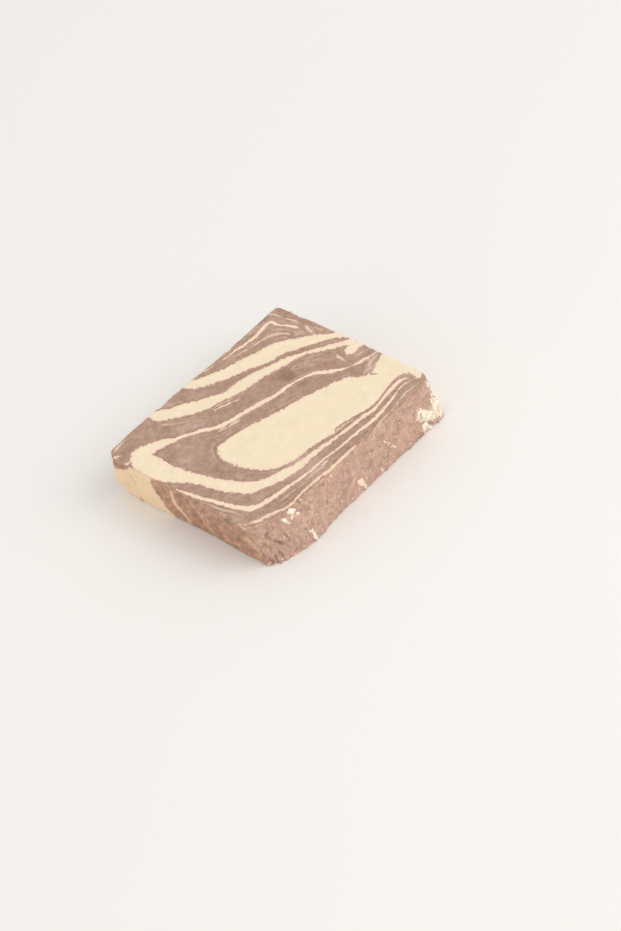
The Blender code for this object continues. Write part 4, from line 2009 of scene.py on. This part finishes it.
@dataclass(frozen=True)
class Studio:
    """Pale floor, soft lights and the camera."""

    floor_size: float = 8.0
    floor: FloorFinish = FloorFinish()
    sky: Colour = (1.0, 0.985, 0.965, 1.0)
    sky_strength: float = 0.81
    lights: tuple[SoftLight, ...] = (
        SoftLight("key", 30.0, 42.0, 1.8, 1.3, 11.4, (1.0, 0.99, 0.975)),
        SoftLight("warm_fill", -80.0, 16.0, 1.8, 0.9, 2.4, (1.0, 0.84, 0.66)),
    )
    azimuth: float = -34.0
    elevation: float = 41.7
    roll: float = -18.3
    lens: float = 154.67
    distance: float = 1.49277
    aim_right: float = 0.009945
    aim_up: float = -0.003114
    aim_origin: Place = (-0.0012, -0.0005)

    def build(self) -> None:
        """Set everything up."""
        self.build_floor()
        for light in self.lights:
            light.build()
        self.build_sky()
        self.build_camera()

    def build_floor(self) -> None:
        """Lay the floor."""
        half = self.floor_size / 2
        mesh = bpy.data.meshes.new("floor")
        corners = [(-half, -half, 0.0), (half, -half, 0.0), (half, half, 0.0), (-half, half, 0.0)]
        mesh.from_pydata(corners, [], [(0, 1, 2, 3)])
        mesh.materials.append(self.floor.material())
        floor = bpy.data.objects.new("floor", mesh)
        bpy.context.scene.collection.objects.link(floor)

    def build_sky(self) -> None:
        """Surround the slice with soft light."""
        world = bpy.data.worlds.new("studio")
        bpy.context.scene.world = world
        world.use_nodes = True
        background = world.node_tree.nodes["Background"]
        background.inputs["Color"].default_value = self.sky
        background.inputs["Strength"].default_value = self.sky_strength

    def build_camera(self) -> None:
        """Place the camera and choose it."""
        turn, rise, lean = (math.radians(angle) for angle in (self.azimuth, self.elevation, self.roll))
        back = Vector((math.sin(turn) * math.cos(rise), -math.cos(turn) * math.cos(rise), math.sin(rise)))
        level = Vector((math.cos(turn), math.sin(turn), 0.0))
        upright = back.cross(level)
        right = level * math.cos(lean) + upright * math.sin(lean)
        up = upright * math.cos(lean) - level * math.sin(lean)
        camera = bpy.data.cameras.new("camera")
        camera.lens = self.lens
        camera.sensor_width = 36.0
        camera.clip_start = 0.05
        camera.clip_end = 50.0
        item = bpy.data.objects.new("camera", camera)
        aim = Vector((*self.aim_origin, 0.0)) + right * self.aim_right + up * self.aim_up
        turned = Matrix((right, up, back)).transposed().to_4x4()
        item.matrix_world = Matrix.Translation(aim + back * self.distance) @ turned
        bpy.context.scene.collection.objects.link(item)
        bpy.context.scene.camera = item
        bpy.context.scene.view_settings.view_transform = "Standard"


# ---------------------------------------------------------------------------


CRUMB_FINISH = BitFinish("cocoa_crumbs", (0.46, 0.30, 0.225, 1.0), (0.78, 0.56, 0.45, 1.0))
FLAKE_FINISH = BitFinish("pale_flakes", (0.97, 0.87, 0.74, 1.0), (0.90, 0.64, 0.50, 1.0))


def crumb_weights(skin: Skin) -> np.ndarray:
    """Where crumbs cling: mostly to the crust, its foot and the chipped edges.

    Args:
        skin: The surface.

    Returns:
        A weight for each point.
    """
    foot = np.clip(1 - skin.places[:, 2] / 4.0, 0, 1) * (1 - skin.lower)
    return (skin.crust * (0.6 + foot) + 0.10 * skin.rim + 0.12 * foot) * (skin.upper < 0.6)


def flake_weights(torn: np.ndarray, skin: Skin) -> np.ndarray:
    """Where small pale flakes stand out: in the torn places of the crust.

    Args:
        torn: Distance inside the torn areas.
        skin: The surface.

    Returns:
        A weight for each point.
    """
    return np.clip(torn + 0.4, 0, 1.0) * (skin.upper < 0.6) + 1e-9


def main() -> None:
    """Build every piece in order and report it."""
    groups = EffectGroups.build()
    Studio().build()
    LOG.info("studio ready")

    halva = MarbledSlice(SliceForm(), Relief(), Marbling(), PasteFinish())
    piece = halva.build()
    halva.dress(piece, groups)
    LOG.info("%s: %d points", piece.name, len(piece.data.vertices))

    flakes = CrustFlakes(FLAKE_FINISH)
    piece = flakes.build(halva.skin, halva.points, halva.marbling.origin)
    flakes.dress(piece, groups)
    LOG.info("%s: %d points", piece.name, len(piece.data.vertices))

    crumb_places = crumb_weights(halva.skin)
    torn_places = flake_weights(halva.torn, halva.skin)
    scattered = (
        (ClingingBits("clinging_crumbs", 360, 0.5, 1.6, 0.55, CRUMB_FINISH, 61), crumb_places),
        (ClingingBits("torn_flakes", 46, 0.5, 1.7, 0.35, FLAKE_FINISH, 67), torn_places),
    )
    for bits, weights in scattered:
        piece = bits.build(halva.skin, halva.points, weights)
        bits.dress(piece, groups)
        LOG.info("%s: %d points", piece.name, len(piece.data.vertices))


if __name__ == "__main__":
    logging.basicConfig(level=logging.INFO)
    main()
